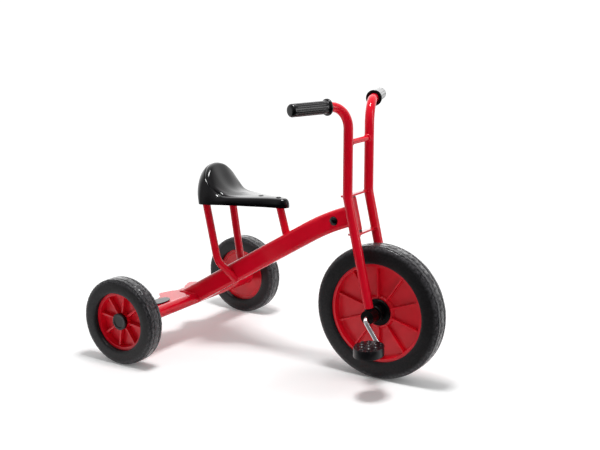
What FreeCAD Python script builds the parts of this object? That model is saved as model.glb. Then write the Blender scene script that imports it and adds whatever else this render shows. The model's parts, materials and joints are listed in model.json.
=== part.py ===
import FreeCAD, Part
import Sketcher
import math
import os
import re

# A child's steel tricycle, ridden with pedals on the front wheel.
# Frame: +X forward, +Y to the rider's left, +Z up, in millimetres.
# The origin lies on the ground under the middle of the tricycle's length and width.

V = FreeCAD.Vector

SIZES = {
    # Layout: the three wheels and the steering axis
    "wheelbase": 534.0,
    "rear_track": 475.0,
    "rake": 13.1,
    "fork_lead": 23.0,
    "overrun": 40.0,
    "running_gap": 0.08,
    # Front wheel: solid rubber tyre on a moulded disc with radial ribs
    "front_radius": 150.0,
    "front_tyre_width": 49.0,
    "front_rim_radius": 110.5,
    "front_rim_inner": 102.0,
    "front_rim_half": 20.0,
    "front_web_half": 3.5,
    "front_rib_half": 12.5,
    "front_rib_width": 3.6,
    "front_rib_count": 10,
    "front_rib_angle": 20.0,
    "front_boss_radius": 34.0,
    "front_boss_half": 9.5,
    "front_boss_foot": 4.0,
    "rim_draft": 2.0,
    "rib_root": 1.0,
    "tyre_shoulder": 12.0,
    # Rear wheels: the same make, smaller, ribbed on their outer side only
    "rear_radius": 100.0,
    "rear_tyre_width": 44.0,
    "rear_rim_radius": 67.5,
    "rear_rim_inner": 60.5,
    "rear_rim_half": 11.0,
    "rear_web_inner": 9.0,
    "rear_web_thick": 4.0,
    "rear_rib_top": 6.5,
    "rear_rib_width": 4.2,
    "rear_rib_count": 8,
    "rear_rib_angle": 37.0,
    "rear_hub_radius": 18.0,
    "rear_hub_inner": 16.0,
    "rear_hub_outer": 8.0,
    "cap_radius": 19.5,
    "cap_height": 7.5,
    "cap_edge": 2.0,
    "cap_clearance": 2.0,
    # Rear axle and the steelwork that carries it
    "axle_radius": 6.0,
    "axle_overhang": 2.0,
    "axle_cap_gap": 1.5,
    "axle_tube_radius": 9.5,
    "axle_play": 0.5,
    "cross_tube_radius": 14.0,
    "cross_tube_wall": 2.5,
    "cross_tube_ahead": 29.0,
    "tyre_clearance": 5.5,
    "bracket_thick": 5.0,
    "bracket_rim": 2.0,
    # Rear step plate with its two pads
    "plate_top": 112.5,
    "plate_thick": 3.0,
    "plate_end_behind": 15.0,
    "plate_end_half": 100.0,
    "plate_waist_half": 76.0,
    "plate_lobe_behind": 43.0,
    "plate_lobe_half": 60.0,
    "plate_notch_behind": 22.0,
    "plate_notch_half": 12.0,
    "plate_corner": 8.0,
    "pad_half_length": 30.0,
    "pad_half_width": 15.5,
    "pad_thick": 3.0,
    "pad_ahead": 5.0,
    "pad_out": 112.0,
    # Main beam: a rectangular tube with round corners, bent near the head
    "beam_width": 35.0,
    "beam_height": 45.6,
    "beam_corner": 9.0,
    "beam_wall": 2.5,
    "beam_foot_ahead": 32.0,
    "beam_head_drop": 2.5,
    "beam_bend_radius": 550.0,
    "beam_bend_angle": 12.3,
    "plug_radius": 10.0,
    "plug_height": 3.5,
    "plug_edge": 1.7,
    "plug_behind_head": 48.0,
    # Head: tube, two flanged bushes and the pin of the fork
    "head_radius": 14.0,
    "head_bore": 11.0,
    "bush_flange": 4.0,
    "bush_flange_radius": 13.0,
    "bush_spigot": 12.0,
    "pin_radius": 8.0,
    "pin_head": 11.0,
    "pin_head_height": 4.0,
    "head_gap": 0.3,
    # Fork: two bent tubes, two plates across them and a brace
    "fork_half_width": 45.5,
    "tube_radius": 10.5,
    "tube_wall": 2.0,
    "plate_upper": 262.0,
    "head_length": 85.0,
    "steering_plate_thick": 4.0,
    "steering_plate_front": 2.0,
    "steering_plate_nose": 19.0,
    "fork_bend_height": 405.0,
    "fork_bend_radius": 70.0,
    "fork_foot": 18.0,
    "brace_below_bend": 29.5,
    "brace_radius": 6.2,
    # Handlebar ends and grips
    "bar_bend_radius": 50.0,
    "bar_height": 601.5,
    "bar_sweep_angle": 20.0,
    "grip_start": 4.0,
    "grip_length": 100.0,
    "grip_radius": 14.0,
    "grip_flange_radius": 18.0,
    "grip_flange": 6.0,
    "grip_neck": 3.0,
    "grip_end": 5.0,
    "grip_end_edge": 1.7,
    "grip_flute_count": 12,
    "grip_flute_radius": 1.6,
    "grip_flute_depth": 1.0,
    "grip_flute_margin": 9.0,
    # Bearing housings at the feet of the fork
    "housing_radius": 15.5,
    "housing_inner": 33.0,
    "housing_outer": 60.0,
    "spigot_depth": 16.0,
    # Front hub shells, pressed on the crank
    "hub_flange_radius": 30.0,
    "hub_flange_face": 14.5,
    "hub_barrel_radius": 19.0,
    "hub_barrel_end": 30.5,
    "hub_core_radius": 15.0,
    "hub_edge": 2.0,
    # Crank and pedals
    "crank_radius": 5.0,
    "crank_throw": 62.0,
    "crank_angle": 38.5,
    "crank_plane": 72.0,
    "crank_splay": 5.0,
    "crank_bend": 7.0,
    "pedal_out": 120.3,
    "pedal_half_length": 38.2,
    "pedal_half_width": 31.0,
    "pedal_band_half": 9.8,
    "pedal_crown": 4.7,
    "pedal_bore_end": 8.0,
    "pedal_mouth_radius": 8.8,
    "pedal_mouth": 5.0,
    # Saddle posts
    "post_radius": 9.0,
    "post_wall": 1.8,
    "front_post_foot": 294.0,
    "front_post_angle": 15.6,
    "rear_post_top_ahead": 99.0,
    "rear_post_top_half": 50.0,
    "rear_post_knee_height": 215.0,
    "rear_post_knee_ahead": 125.0,
    "rear_post_knee_half": 44.5,
    "rear_post_weld_ahead": 152.0,
    "rear_post_weld_drop": 13.0,
    "rear_post_bend": 45.0,
    # Saddle: a moulded shell with a raised back
    "saddle_base": 352.5,
    "saddle_rise": 85.0,
    "saddle_seat_rise": 18.0,
    "saddle_heel_ahead": 79.0,
    "saddle_length": 214.0,
    "saddle_half_width": 78.5,
    "saddle_belly": 21.0,
    "saddle_wall": 4.0,
}

# The saddle's left half from the middle of the back to the tip of the nose.
# Foot (along, across), ridge (along, across, up), how far the wall bellies backward,
# how much it is a back and not a seat's edge, and the rim of the flat seat (along, across):
# shares of the saddle's length, half width, rise and belly.
SADDLE_SHARES = (
    (0.000, 0.000, 0.070, 0.000, 0.994, 1.00, 1.0, 0.322, 0.000),
    (0.007, 0.306, 0.081, 0.280, 0.941, 0.97, 1.0, 0.327, 0.115),
    (0.026, 0.599, 0.096, 0.437, 0.853, 0.88, 1.0, 0.336, 0.204),
    (0.058, 0.854, 0.107, 0.590, 0.718, 0.62, 1.0, 0.350, 0.274),
    (0.112, 1.000, 0.126, 0.662, 0.582, 0.25, 1.0, 0.371, 0.325),
    (0.182, 0.936, 0.165, 0.675, 0.418, 0.00, 0.9, 0.402, 0.350),
    (0.271, 0.828, 0.231, 0.605, 0.212, 0.00, 0.5, 0.444, 0.350),
    (0.379, 0.688, 0.362, 0.580, 0.204, 0.00, 0.0, 0.495, 0.325),
    (0.500, 0.567, 0.493, 0.470, 0.204, 0.00, 0.0, 0.565, 0.274),
    (0.631, 0.441, 0.621, 0.350, 0.204, 0.00, 0.0, 0.645, 0.210),
    (0.766, 0.306, 0.752, 0.220, 0.204, 0.00, 0.0, 0.720, 0.140),
    (0.865, 0.237, 0.848, 0.152, 0.204, 0.00, 0.0, 0.780, 0.089),
    (0.955, 0.180, 0.930, 0.120, 0.204, 0.00, 0.0, 0.822, 0.051),
    (1.000, 0.000, 0.968, 0.000, 0.204, 0.00, 0.0, 0.836, 0.000),
)
# Walls between the foot and the ridge: share of the way in, up, and backward
BACK_WALL_SHARES = (
    (0.00, 0.000, 0.00),
    (0.18, 0.265, 0.68),
    (0.42, 0.560, 1.00),
    (0.72, 0.820, 1.06),
    (0.91, 0.985, 0.60),
    (1.00, 1.000, 0.00),
)
EDGE_WALL_SHARES = (
    (0.00, 0.000, 0.00),
    (0.04, 0.330, 0.00),
    (0.13, 0.620, 0.00),
    (0.33, 0.830, 0.00),
    (0.62, 0.945, 0.00),
    (1.00, 1.000, 0.00),
)
# The hollow of the back between the ridge and the flat seat: share inward, share of height
FACE_SHARES = (
    (0.09, 0.790),
    (0.21, 0.455),
    (0.42, 0.155),
    (0.72, 0.000),
    (1.00, 0.000),
)

doc = FreeCAD.newDocument("tricycle")
sheet = doc.addObject("Spreadsheet::Sheet", "Sizes")
for row, (alias, amount) in enumerate(SIZES.items(), 1):
    sheet.set("A%d" % row, alias)
    sheet.set("B%d" % row, str(amount))
    sheet.setAlias("B%d" % row, alias)
doc.recompute()

NODES = []

# Places that several pieces share, as expressions on the sizes
REAR_X = "(rear_radius - front_radius - wheelbase) / 2"
FRONT_X = "(wheelbase - front_radius + rear_radius) / 2"
CROSS_HALF = "((rear_track - rear_tyre_width) / 2 - tyre_clearance)"
PLATE_LOWER = "(plate_upper - head_length)"


def bound(text):
    """The expression with each size's name pointed at its cell of the sheet."""
    def cell(word):
        return "Sizes." + word.group() if word.group() in SIZES else word.group()
    return re.sub(r"[a-z_]+", cell, str(text))


def mm(text):
    """The value in millimetres, or degrees, of an expression on the sizes."""
    return float(sheet.evalExpression(bound(text).replace("Sizes.", "")))


def bind(thing, **formulas):
    for name, text in formulas.items():
        thing.setExpression(name, bound(text))


def place(thing, x=0, y=0, z=0, axis=None, angle=0):
    """Puts a sub-part at a bound place, turned by a bound angle about an axis."""
    if axis is not None:
        turn = FreeCAD.Rotation(axis, mm(angle))
        thing.Placement = FreeCAD.Placement(V(), turn)
        thing.setExpression("Placement.Rotation.Angle", bound(angle))
    for letter, text in zip("xyz", (x, y, z)):
        thing.setExpression("Placement.Base." + letter, bound(text))
    return thing


def node(thing):
    NODES.append(thing)
    return thing


def body(label):
    thing = doc.addObject("PartDesign::Body", label)
    thing.Label = label
    return thing


def sketch(owner, name, plane, lift=0):
    """A sketch on one of the origin planes of its own body."""
    drawing = owner.newObject("Sketcher::SketchObject", name)
    support = [item for item in owner.Origin.OriginFeatures if item.Role == plane][0]
    drawing.AttachmentSupport = (support, [""])
    drawing.MapMode = "FlatFace"
    if lift:
        drawing.setExpression("AttachmentOffset.Base.z", bound(lift))
    return drawing


def outline(drawing, points):
    """A closed outline of straight edges through points bound to the sizes."""
    places = [V(mm(x), mm(y), 0) for x, y in points]
    first = drawing.GeometryCount
    count = len(places)
    for number in range(count):
        edge = Part.LineSegment(places[number], places[(number + 1) % count])
        drawing.addGeometry(edge, False)
    for number in range(count):
        following = first + (number + 1) % count
        drawing.addConstraint(Sketcher.Constraint("Coincident", first + number, 2, following, 1))
    for number, (x, y) in enumerate(points):
        for kind, text in (("DistanceX", x), ("DistanceY", y)):
            index = drawing.addConstraint(
                Sketcher.Constraint(kind, -1, 1, first + number, 1, mm(text)))
            drawing.setExpression("Constraints[%d]" % index, bound(text))
    return drawing


def circle(drawing, radius, x=0, y=0):
    index = drawing.addGeometry(Part.Circle(V(mm(x), mm(y), 0), V(0, 0, 1), mm(radius)), False)
    number = drawing.addConstraint(Sketcher.Constraint("Radius", index, mm(radius)))
    drawing.setExpression("Constraints[%d]" % number, bound(radius))
    for kind, text in (("DistanceX", x), ("DistanceY", y)):
        number = drawing.addConstraint(Sketcher.Constraint(kind, -1, 1, index, 3, mm(text)))
        drawing.setExpression("Constraints[%d]" % number, bound(text))
    return drawing


def turned(label, points, plane="XY_Plane"):
    """A solid of revolution: points are (radius, place along the axis)."""
    owner = body(label)
    profile = outline(sketch(owner, label + "_profile", plane), points)
    solid = owner.newObject("PartDesign::Revolution", label + "_turned")
    solid.Profile = profile
    solid.ReferenceAxis = (profile, ["V_Axis"])
    solid.Angle = 360.0
    return owner


def pad(owner, drawing, length, both=False, back=False):
    solid = owner.newObject("PartDesign::Pad", drawing.Name + "_pad")
    solid.Profile = drawing
    bind(solid, Length=length)
    if both:
        solid.SideType = "Symmetric"
    solid.Reversed = back
    return solid


def around(owner, feature, drawing, count):
    ring = owner.newObject("PartDesign::PolarPattern", feature.Name + "_ring")
    ring.Originals = [feature]
    ring.Axis = (drawing, ["N_Axis"])
    ring.Angle = 360.0
    bind(ring, Occurrences=count)
    owner.Tip = ring
    return ring


def wire_of(points, radii):
    """Straight runs through the points, joined by tangent arcs of the given radii."""
    edges = []
    start = points[0]
    for before, corner, after, radius in zip(points, points[1:], points[2:], radii):
        back = (before - corner).normalize()
        ahead = (after - corner).normalize()
        half = back.getAngle(ahead) / 2
        reach = radius / math.tan(half)
        middle = (back + ahead).normalize()
        centre = corner + middle * (radius / math.sin(half))
        first = corner + back * reach
        last = corner + ahead * reach
        edges.append(Part.LineSegment(start, first).toShape())
        edges.append(Part.Arc(first, centre - middle * radius, last).toShape())
        start = last
    edges.append(Part.LineSegment(start, points[-1]).toShape())
    return Part.Wire(edges)


def swept(wire, radius):
    """A round bar along the wire."""
    start = wire.OrderedVertexes[0].Point
    toward = wire.OrderedEdges[0].tangentAt(wire.OrderedEdges[0].FirstParameter)
    section = Part.Wire([Part.Circle(start, toward, radius).toShape()])
    return wire.makePipeShell([section], True, False)


def shaped(label, shape):
    thing = doc.addObject("Part::Feature", label)
    thing.Label = label
    thing.Shape = shape
    return thing


# Fork coordinates: ahead of the legs' line, and up along it, from the front axle
def fork_x(ahead, up):
    return "%s + (%s) * cos(rake) - (%s) * sin(rake)" % (FRONT_X, ahead, up)


def fork_z(ahead, up):
    return "front_radius + (%s) * sin(rake) + (%s) * cos(rake)" % (ahead, up)


def fork_point(ahead, side, up):
    return V(mm(fork_x(ahead, up)), mm(side), mm(fork_z(ahead, up)))


FORWARD_TO_UP = V(0, -1, 0)
LEFT_RIGHT = (("left", 1), ("right", -1))


def tyre_profile(radius, width, rim):
    """Half of the section, from the tread over the shoulder to the rim, and its mirror image."""
    half = "%s / 2" % width
    upper = [
        (radius, "%s - tyre_shoulder" % half),
        ("%s - tyre_shoulder" % radius, half),
        (rim, half),
    ]
    lower = [(across, "-(%s)" % along) for across, along in reversed(upper)]
    return upper + lower


def front_wheel():
    tyre = turned("front_tyre", tyre_profile(
        "front_radius", "front_tyre_width", "front_rim_radius"))
    node(place(tyre, FRONT_X, 0, "front_radius"))

    upper = [
        ("hub_core_radius", "front_boss_half"),
        ("front_boss_radius", "front_boss_half"),
        ("front_boss_radius + front_boss_foot", "front_web_half"),
        ("front_rim_inner - rim_draft", "front_web_half"),
        ("front_rim_inner", "front_web_half + rim_draft"),
        ("front_rim_inner + rim_draft", "front_rim_half"),
        ("front_rim_radius", "front_rim_half"),
    ]
    lower = [(across, "-(%s)" % along) for across, along in reversed(upper)]
    disc = turned("front_disc", upper + lower)
    drawing = sketch(disc, "front_rib", "XZ_Plane")
    outline(drawing, [
        ("front_boss_radius - rib_root", "-front_rib_width / 2"),
        ("front_rim_inner + rib_root", "-front_rib_width / 2"),
        ("front_rim_inner + rib_root", "front_rib_width / 2"),
        ("front_boss_radius - rib_root", "front_rib_width / 2"),
    ])
    rib = pad(disc, drawing, "2 * front_rib_half", both=True)
    around(disc, rib, drawing, "front_rib_count")
    node(place(disc, FRONT_X, 0, "front_radius", FORWARD_TO_UP, "front_rib_angle"))

    for side, sign in LEFT_RIGHT:
        label = "front_hub_" + side
        hub = turned(label, [
            ("crank_radius", 0),
            ("hub_core_radius", 0),
            ("hub_core_radius", "%d * front_boss_half" % sign),
            ("hub_flange_radius", "%d * front_boss_half" % sign),
            ("hub_flange_radius", "%d * (hub_flange_face - hub_edge)" % sign),
            ("hub_flange_radius - hub_edge", "%d * hub_flange_face" % sign),
            ("hub_barrel_radius", "%d * hub_flange_face" % sign),
            ("hub_barrel_radius", "%d * (hub_barrel_end - hub_edge)" % sign),
            ("hub_barrel_radius - hub_edge", "%d * hub_barrel_end" % sign),
            ("crank_radius", "%d * hub_barrel_end" % sign),
        ])
        node(place(hub, FRONT_X, 0, "front_radius"))


def crank_point(side, plane):
    """On the pedal pin of one side: the right one leads down, the left one is opposite."""
    sign = 1 if side == "right" else -1
    out = -1 if side == "right" else 1
    return V(mm("%s + %d * crank_throw * sin(crank_angle)" % (FRONT_X, sign)),
             out * mm(plane),
             mm("front_radius - %d * crank_throw * cos(crank_angle)" % sign))


def crank_axle():
    """One bent bar: pedal pin, arm, wheel axle, arm and pedal pin."""
    pin_end = "pedal_out + pedal_half_length - pedal_bore_end - crank_radius"
    axle = V(mm(FRONT_X), 0, mm("front_radius"))
    plane = mm("crank_plane")
    points = [
        crank_point("right", pin_end),
        crank_point("right", "crank_plane + crank_splay"),
        axle + V(0, -plane, 0),
        axle + V(0, plane, 0),
        crank_point("left", "crank_plane + crank_splay"),
        crank_point("left", pin_end),
    ]
    path = wire_of(points, [mm("crank_bend")] * 4)
    node(shaped("crank", swept(path, mm("crank_radius"))))


def pedals():
    """Oval rubber blocks: an upright band under a low dome on each face."""
    half = mm("pedal_band_half")
    crown = mm("pedal_band_half + pedal_crown")
    across = mm("pedal_half_width")
    along = mm("pedal_half_length")
    # The domes are one ellipsoid, wide enough to meet the oval's edge at the band's height
    spread = 1 / math.sqrt(1 - (half / crown) ** 2)
    dome = Part.makeSphere(1)
    scale = FreeCAD.Matrix()
    scale.scale(spread * across, spread * along, crown)
    dome = dome.transformGeometry(scale)
    oval = Part.Ellipse(V(), along, across)
    plan = Part.Face(Part.Wire([oval.toShape()]))
    plan.rotate(V(), V(0, 0, 1), 90)
    plan.translate(V(0, 0, -crown))
    block = plan.extrude(V(0, 0, 2 * crown)).common(dome)
    for side, sign in LEFT_RIGHT:
        deep = mm("2 * pedal_half_length - pedal_bore_end")
        bore = Part.makeCylinder(mm("crank_radius + running_gap"), deep + mm("overrun"),
                                 V(0, -sign * (along + mm("overrun")), 0), V(0, sign, 0))
        mouth = Part.makeCylinder(mm("pedal_mouth_radius"), mm("pedal_mouth + overrun"),
                                  V(0, -sign * (along + mm("overrun")), 0), V(0, sign, 0))
        thing = shaped("pedal_" + side, block.cut([bore, mouth]))
        node(place(thing,
                   "%s - %d * crank_throw * sin(crank_angle)" % (FRONT_X, sign),
                   "%d * pedal_out" % sign,
                   "front_radius + %d * crank_throw * cos(crank_angle)" % sign))


def rear_wheels():
    for side, sign in LEFT_RIGHT:
        centre = "%d * rear_track / 2" % sign
        tyre = turned("rear_tyre_" + side, tyre_profile(
            "rear_radius", "rear_tyre_width", "rear_rim_radius"))
        node(place(tyre, REAR_X, centre, "rear_radius"))

        def out(text):
            return "%d * (%s)" % (sign, text)

        label = "rear_disc_" + side
        disc = turned(label, [
            ("axle_radius + running_gap", out("-rear_hub_inner")),
            ("rear_hub_radius", out("-rear_hub_inner")),
            ("rear_hub_radius", out("-rear_web_inner")),
            ("rear_rim_inner - rim_draft", out("-rear_web_inner")),
            ("rear_rim_inner", out("-rear_rim_half")),
            ("rear_rim_radius", out("-rear_rim_half")),
            ("rear_rim_radius", out("rear_rim_half")),
            ("rear_rim_inner", out("rear_rim_half")),
            ("rear_rim_inner - rim_draft", out("rear_web_thick - rear_web_inner")),
            ("rear_hub_radius + rim_draft", out("rear_web_thick - rear_web_inner")),
            ("rear_hub_radius", out("rear_hub_outer")),
            ("axle_radius + running_gap", out("rear_hub_outer")),
        ])
        drawing = sketch(disc, label + "_rib", "XZ_Plane",
                         "%d * (rear_web_inner - rear_web_thick / 2)" % sign)
        outline(drawing, [
            ("rear_hub_radius - rib_root", "-rear_rib_width / 2"),
            ("rear_rim_inner + rib_root", "-rear_rib_width / 2"),
            ("rear_rim_inner + rib_root", "rear_rib_width / 2"),
            ("rear_hub_radius - rib_root", "rear_rib_width / 2"),
        ])
        rib = pad(disc, drawing, "rear_rib_top + rear_web_inner - rear_web_thick / 2",
                  back=sign > 0)
        around(disc, rib, drawing, "rear_rib_count")
        node(place(disc, REAR_X, centre, "rear_radius", FORWARD_TO_UP, "rear_rib_angle"))

        cap = turned("hub_cap_" + side, [
            (0, out("rear_hub_outer + axle_overhang + axle_cap_gap")),
            ("axle_radius + cap_clearance", out("rear_hub_outer + axle_overhang + axle_cap_gap")),
            ("axle_radius + cap_clearance", out("rear_hub_outer")),
            ("cap_radius", out("rear_hub_outer")),
            ("cap_radius", out("rear_hub_outer + cap_height - cap_edge")),
            ("cap_radius - cap_edge", out("rear_hub_outer + cap_height")),
            (0, out("rear_hub_outer + cap_height")),
        ])
        node(place(cap, REAR_X, centre, "rear_radius"))


def rear_steelwork():
    end = "rear_track / 2 + rear_hub_outer + axle_overhang"
    axle = turned("rear_axle", [
        (0, "-(%s)" % end), ("axle_radius", "-(%s)" % end),
        ("axle_radius", end), (0, end)])
    node(place(axle, REAR_X, 0, "rear_radius"))
    stop = "rear_track / 2 - rear_hub_inner - axle_play"
    tube = turned("axle_tube", [
        ("axle_radius", "-(%s)" % stop), ("axle_tube_radius", "-(%s)" % stop),
        ("axle_tube_radius", stop), ("axle_radius", stop)])
    node(place(tube, REAR_X, 0, "rear_radius"))
    cross = turned("rear_cross_tube", [
        ("cross_tube_radius - cross_tube_wall", "-" + CROSS_HALF),
        ("cross_tube_radius", "-" + CROSS_HALF),
        ("cross_tube_radius", CROSS_HALF),
        ("cross_tube_radius - cross_tube_wall", CROSS_HALF)])
    node(place(cross, REAR_X + " + cross_tube_ahead", 0, "rear_radius"))

    for side, sign in LEFT_RIGHT:
        axle_place = V(mm(REAR_X), 0, mm("rear_radius"))
        tube_place = axle_place + V(mm("cross_tube_ahead"), 0, 0)
        thick = mm("bracket_thick")
        inner = mm(CROSS_HALF)
        start = V(0, inner if sign > 0 else -inner - thick, 0)
        along = V(0, 1, 0)
        big = Part.makeCylinder(mm("cross_tube_radius"), thick, tube_place + start, along)
        small = Part.makeCylinder(mm("axle_tube_radius + bracket_rim"), thick,
                                  axle_place + start, along)
        low = mm("axle_tube_radius")
        box = Part.makeBox(mm("cross_tube_ahead"), thick, 2 * low,
                           axle_place + start + V(0, 0, -low))
        hole = Part.makeCylinder(mm("axle_tube_radius"), thick, axle_place + start, along)
        plate = big.fuse([small, box]).cut(hole).removeSplitter()
        node(shaped("axle_bracket_" + side, plate))


def step_plate():
    plate = body("rear_platform")
    drawing = sketch(plate, "platform_plan", "XY_Plane")
    right = [
        ("-plate_notch_behind", "plate_notch_half"),
        ("-(plate_notch_behind + plate_lobe_behind) / 2",
         "(plate_notch_half + plate_lobe_half) / 2 - plate_corner"),
        ("-plate_lobe_behind", "plate_lobe_half"),
        ("-(plate_end_behind + plate_corner)", "plate_waist_half"),
        ("-plate_end_behind", "plate_end_half"),
        ("-plate_end_behind", CROSS_HALF),
        ("cross_tube_ahead", CROSS_HALF),
    ]
    left = [(along, "-(%s)" % across) for along, across in reversed(right)]
    outline(drawing, right + left)
    solid = pad(plate, drawing, "plate_thick")
    doc.recompute()
    rounded = plate.newObject("PartDesign::Fillet", "platform_corners")
    upright = [number for number, edge in enumerate(solid.Shape.Edges, 1)
               if edge.BoundBox.ZLength > 0 and edge.BoundBox.XMax < -mm("plate_end_behind")]
    rounded.Base = (solid, ["Edge%d" % number for number in upright])
    bind(rounded, Radius="plate_corner")
    plate.Tip = rounded
    place(plate, REAR_X, 0, "plate_top - plate_thick")
    round_tube = doc.addObject("Part::Cylinder", "platform_trim")
    bind(round_tube, Radius="cross_tube_radius", Height="2 * (%s + overrun)" % CROSS_HALF)
    round_tube.Placement = FreeCAD.Placement(V(), FreeCAD.Rotation(V(-1, 0, 0), 90))
    place(round_tube, REAR_X + " + cross_tube_ahead", "-%s - overrun" % CROSS_HALF,
          "rear_radius")
    cut = doc.addObject("Part::Cut", "rear_platform_cut")
    cut.Base = plate
    cut.Tool = round_tube
    plate.Label = "rear_platform_blank"
    cut.Label = "rear_platform"
    node(cut)

    for side, sign in LEFT_RIGHT:
        label = "step_pad_" + side
        ellipse = Part.Ellipse(V(0, 0, 0), mm("pad_half_length"), mm("pad_half_width"))
        disc = Part.Face(Part.Wire([ellipse.toShape()]))
        solid = disc.extrude(V(0, 0, mm("pad_thick")))
        thing = shaped(label, solid)
        thing.Placement = FreeCAD.Placement(
            V(mm(REAR_X + " + pad_ahead"), sign * mm("pad_out"), mm("plate_top")),
            FreeCAD.Rotation(V(0, 0, 1), 90))
        thing.Shape = trimmed_to_cross_tube(thing.Shape)
        node(thing)


def trimmed_to_cross_tube(shape):
    half = mm(CROSS_HALF + " + overrun")
    start = V(mm(REAR_X + " + cross_tube_ahead"), -half, mm("rear_radius"))
    tube = Part.makeCylinder(mm("cross_tube_radius"), 2 * half, start, V(0, 1, 0))
    return shape.cut(tube)


def beam_path():
    """Centre line of the beam: a straight run from its foot, then one long bend to the head."""
    foot = V(mm(REAR_X + " + beam_foot_ahead"), 0, mm("plate_top"))
    head = fork_point("-fork_lead", 0, "plate_upper - head_length / 2 - beam_head_drop")
    radius = mm("beam_bend_radius")
    turn = math.radians(mm("beam_bend_angle"))
    span = head - foot
    dip = radius * (1 - math.cos(turn))
    slope = math.atan2(span.z, span.x) + math.asin(dip / span.Length)
    straight = math.sqrt(span.Length ** 2 - dip ** 2) - radius * math.sin(turn)
    along = V(math.cos(slope), 0, math.sin(slope))
    start = foot - along * mm("plate_top")
    bend = foot + along * straight
    centre = bend + V(math.sin(slope), 0, -math.cos(slope)) * radius

    def on_bend(angle):
        return centre + V(-math.sin(slope - angle), 0, math.cos(slope - angle)) * radius

    return start, along, Part.Wire([
        Part.LineSegment(start, bend).toShape(),
        Part.Arc(bend, on_bend(turn / 2), on_bend(turn)).toShape()])


def rounded_rectangle(start, along, width, height, corner):
    up = along.cross(V(0, 1, 0)) * -1
    side = V(0, 1, 0)
    centres = [(1, 1), (-1, 1), (-1, -1), (1, -1)]
    edges = []
    points = []
    for number, (a, b) in enumerate(centres):
        centre = start + side * a * (width / 2 - corner) + up * b * (height / 2 - corner)
        first, last = (side * a, up * b) if number % 2 == 0 else (up * b, side * a)
        middle = (first + last).normalize()
        points.append((centre + first * corner, centre + middle * corner,
                       centre + last * corner))
    for number, (first, middle, last) in enumerate(points):
        edges.append(Part.Arc(first, middle, last).toShape())
        edges.append(Part.LineSegment(last, points[(number + 1) % 4][0]).toShape())
    return Part.Wire(edges)


def main_beam():
    start, along, path = beam_path()
    outer = rounded_rectangle(start, along, mm("beam_width"), mm("beam_height"),
                              mm("beam_corner"))
    inner = rounded_rectangle(start, along, mm("beam_width - 2 * beam_wall"),
                              mm("beam_height - 2 * beam_wall"),
                              mm("beam_corner - beam_wall"))
    tube = path.makePipeShell([outer], True, False)
    tube = tube.cut(path.makePipeShell([inner], True, False))
    tube = trimmed_to_cross_tube(tube)
    deep = mm("plate_top")
    behind = mm("cross_tube_ahead")
    below = Part.makeBox(behind + mm("wheelbase"), 2 * mm("beam_width"), deep,
                         V(mm(REAR_X) - mm("wheelbase"), -mm("beam_width"), 0))
    head = Part.makeCylinder(mm("head_radius"), mm("wheelbase"),
                             fork_point("-fork_lead", 0, 0), fork_up())
    beyond = Part.makeBox(mm("wheelbase"), 2 * mm("beam_width"), 2 * mm("wheelbase"),
                          V(0, -mm("beam_width"), 0))
    beyond.rotate(V(), FORWARD_TO_UP, mm("rake"))
    beyond.translate(fork_point("-fork_lead", 0, 0))
    tube = tube.cut([below, head, beyond])
    tube = max(tube.Solids, key=lambda solid: solid.Volume)
    node(shaped("main_beam", tube))

    for side, sign in LEFT_RIGHT:
        # The round plugs sit on the sides of the beam, a little behind the head
        place_x = mm(fork_x("-fork_lead", PLATE_LOWER)) - mm("plug_behind_head")
        plug = turned("beam_plug_" + side, [
            (0, 0), ("plug_radius", 0),
            ("plug_radius", "%d * (plug_height - plug_edge)" % sign),
            ("plug_radius - plug_edge", "%d * plug_height" % sign),
            (0, "%d * plug_height" % sign)])
        node(place(plug, place_x, "%d * beam_width / 2" % sign, beam_height_at(place_x)))


def beam_height_at(place_x):
    """Height of the beam's centre line at a place along the tricycle."""
    path = beam_path()[2]
    upright = Part.LineSegment(V(place_x, 0, 0), V(place_x, 0, mm("wheelbase"))).toShape()
    return path.distToShape(upright)[1][0][0].z


def fork_up():
    rake = math.radians(mm("rake"))
    return V(-math.sin(rake), 0, math.cos(rake))


def head_set():
    low = PLATE_LOWER + " + steering_plate_thick / 2 + head_gap"
    high = "plate_upper - steering_plate_thick / 2 - head_gap"
    under = PLATE_LOWER + " - steering_plate_thick / 2"

    def on_axis(thing):
        return place(thing, fork_x("-fork_lead", 0), 0, fork_z("-fork_lead", 0),
                     FORWARD_TO_UP, "rake")

    tube = turned("head_tube", [
        ("head_bore", "%s + bush_flange" % low), ("head_radius", "%s + bush_flange" % low),
        ("head_radius", "%s - bush_flange" % high), ("head_bore", "%s - bush_flange" % high)],
        "XZ_Plane")
    node(on_axis(tube))
    for label, face, sign in (("head_bush_lower", low, 1), ("head_bush_upper", high, -1)):
        bush = turned(label, [
            ("pin_radius + running_gap", face),
            ("bush_flange_radius", face),
            ("bush_flange_radius", "%s + %d * bush_flange" % (face, sign)),
            ("head_bore", "%s + %d * bush_flange" % (face, sign)),
            ("head_bore", "%s + %d * (bush_flange + bush_spigot)" % (face, sign)),
            ("pin_radius + running_gap", "%s + %d * (bush_flange + bush_spigot)" % (face, sign)),
        ], "XZ_Plane")
        node(on_axis(bush))
    pin = turned("steering_pin", [
        (0, under + " - pin_head_height"),
        ("pin_head", under + " - pin_head_height"),
        ("pin_head", under),
        ("pin_radius", under),
        ("pin_radius", "plate_upper + steering_plate_thick / 2"),
        (0, "plate_upper + steering_plate_thick / 2"),
    ], "XZ_Plane")
    node(on_axis(pin))


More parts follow.
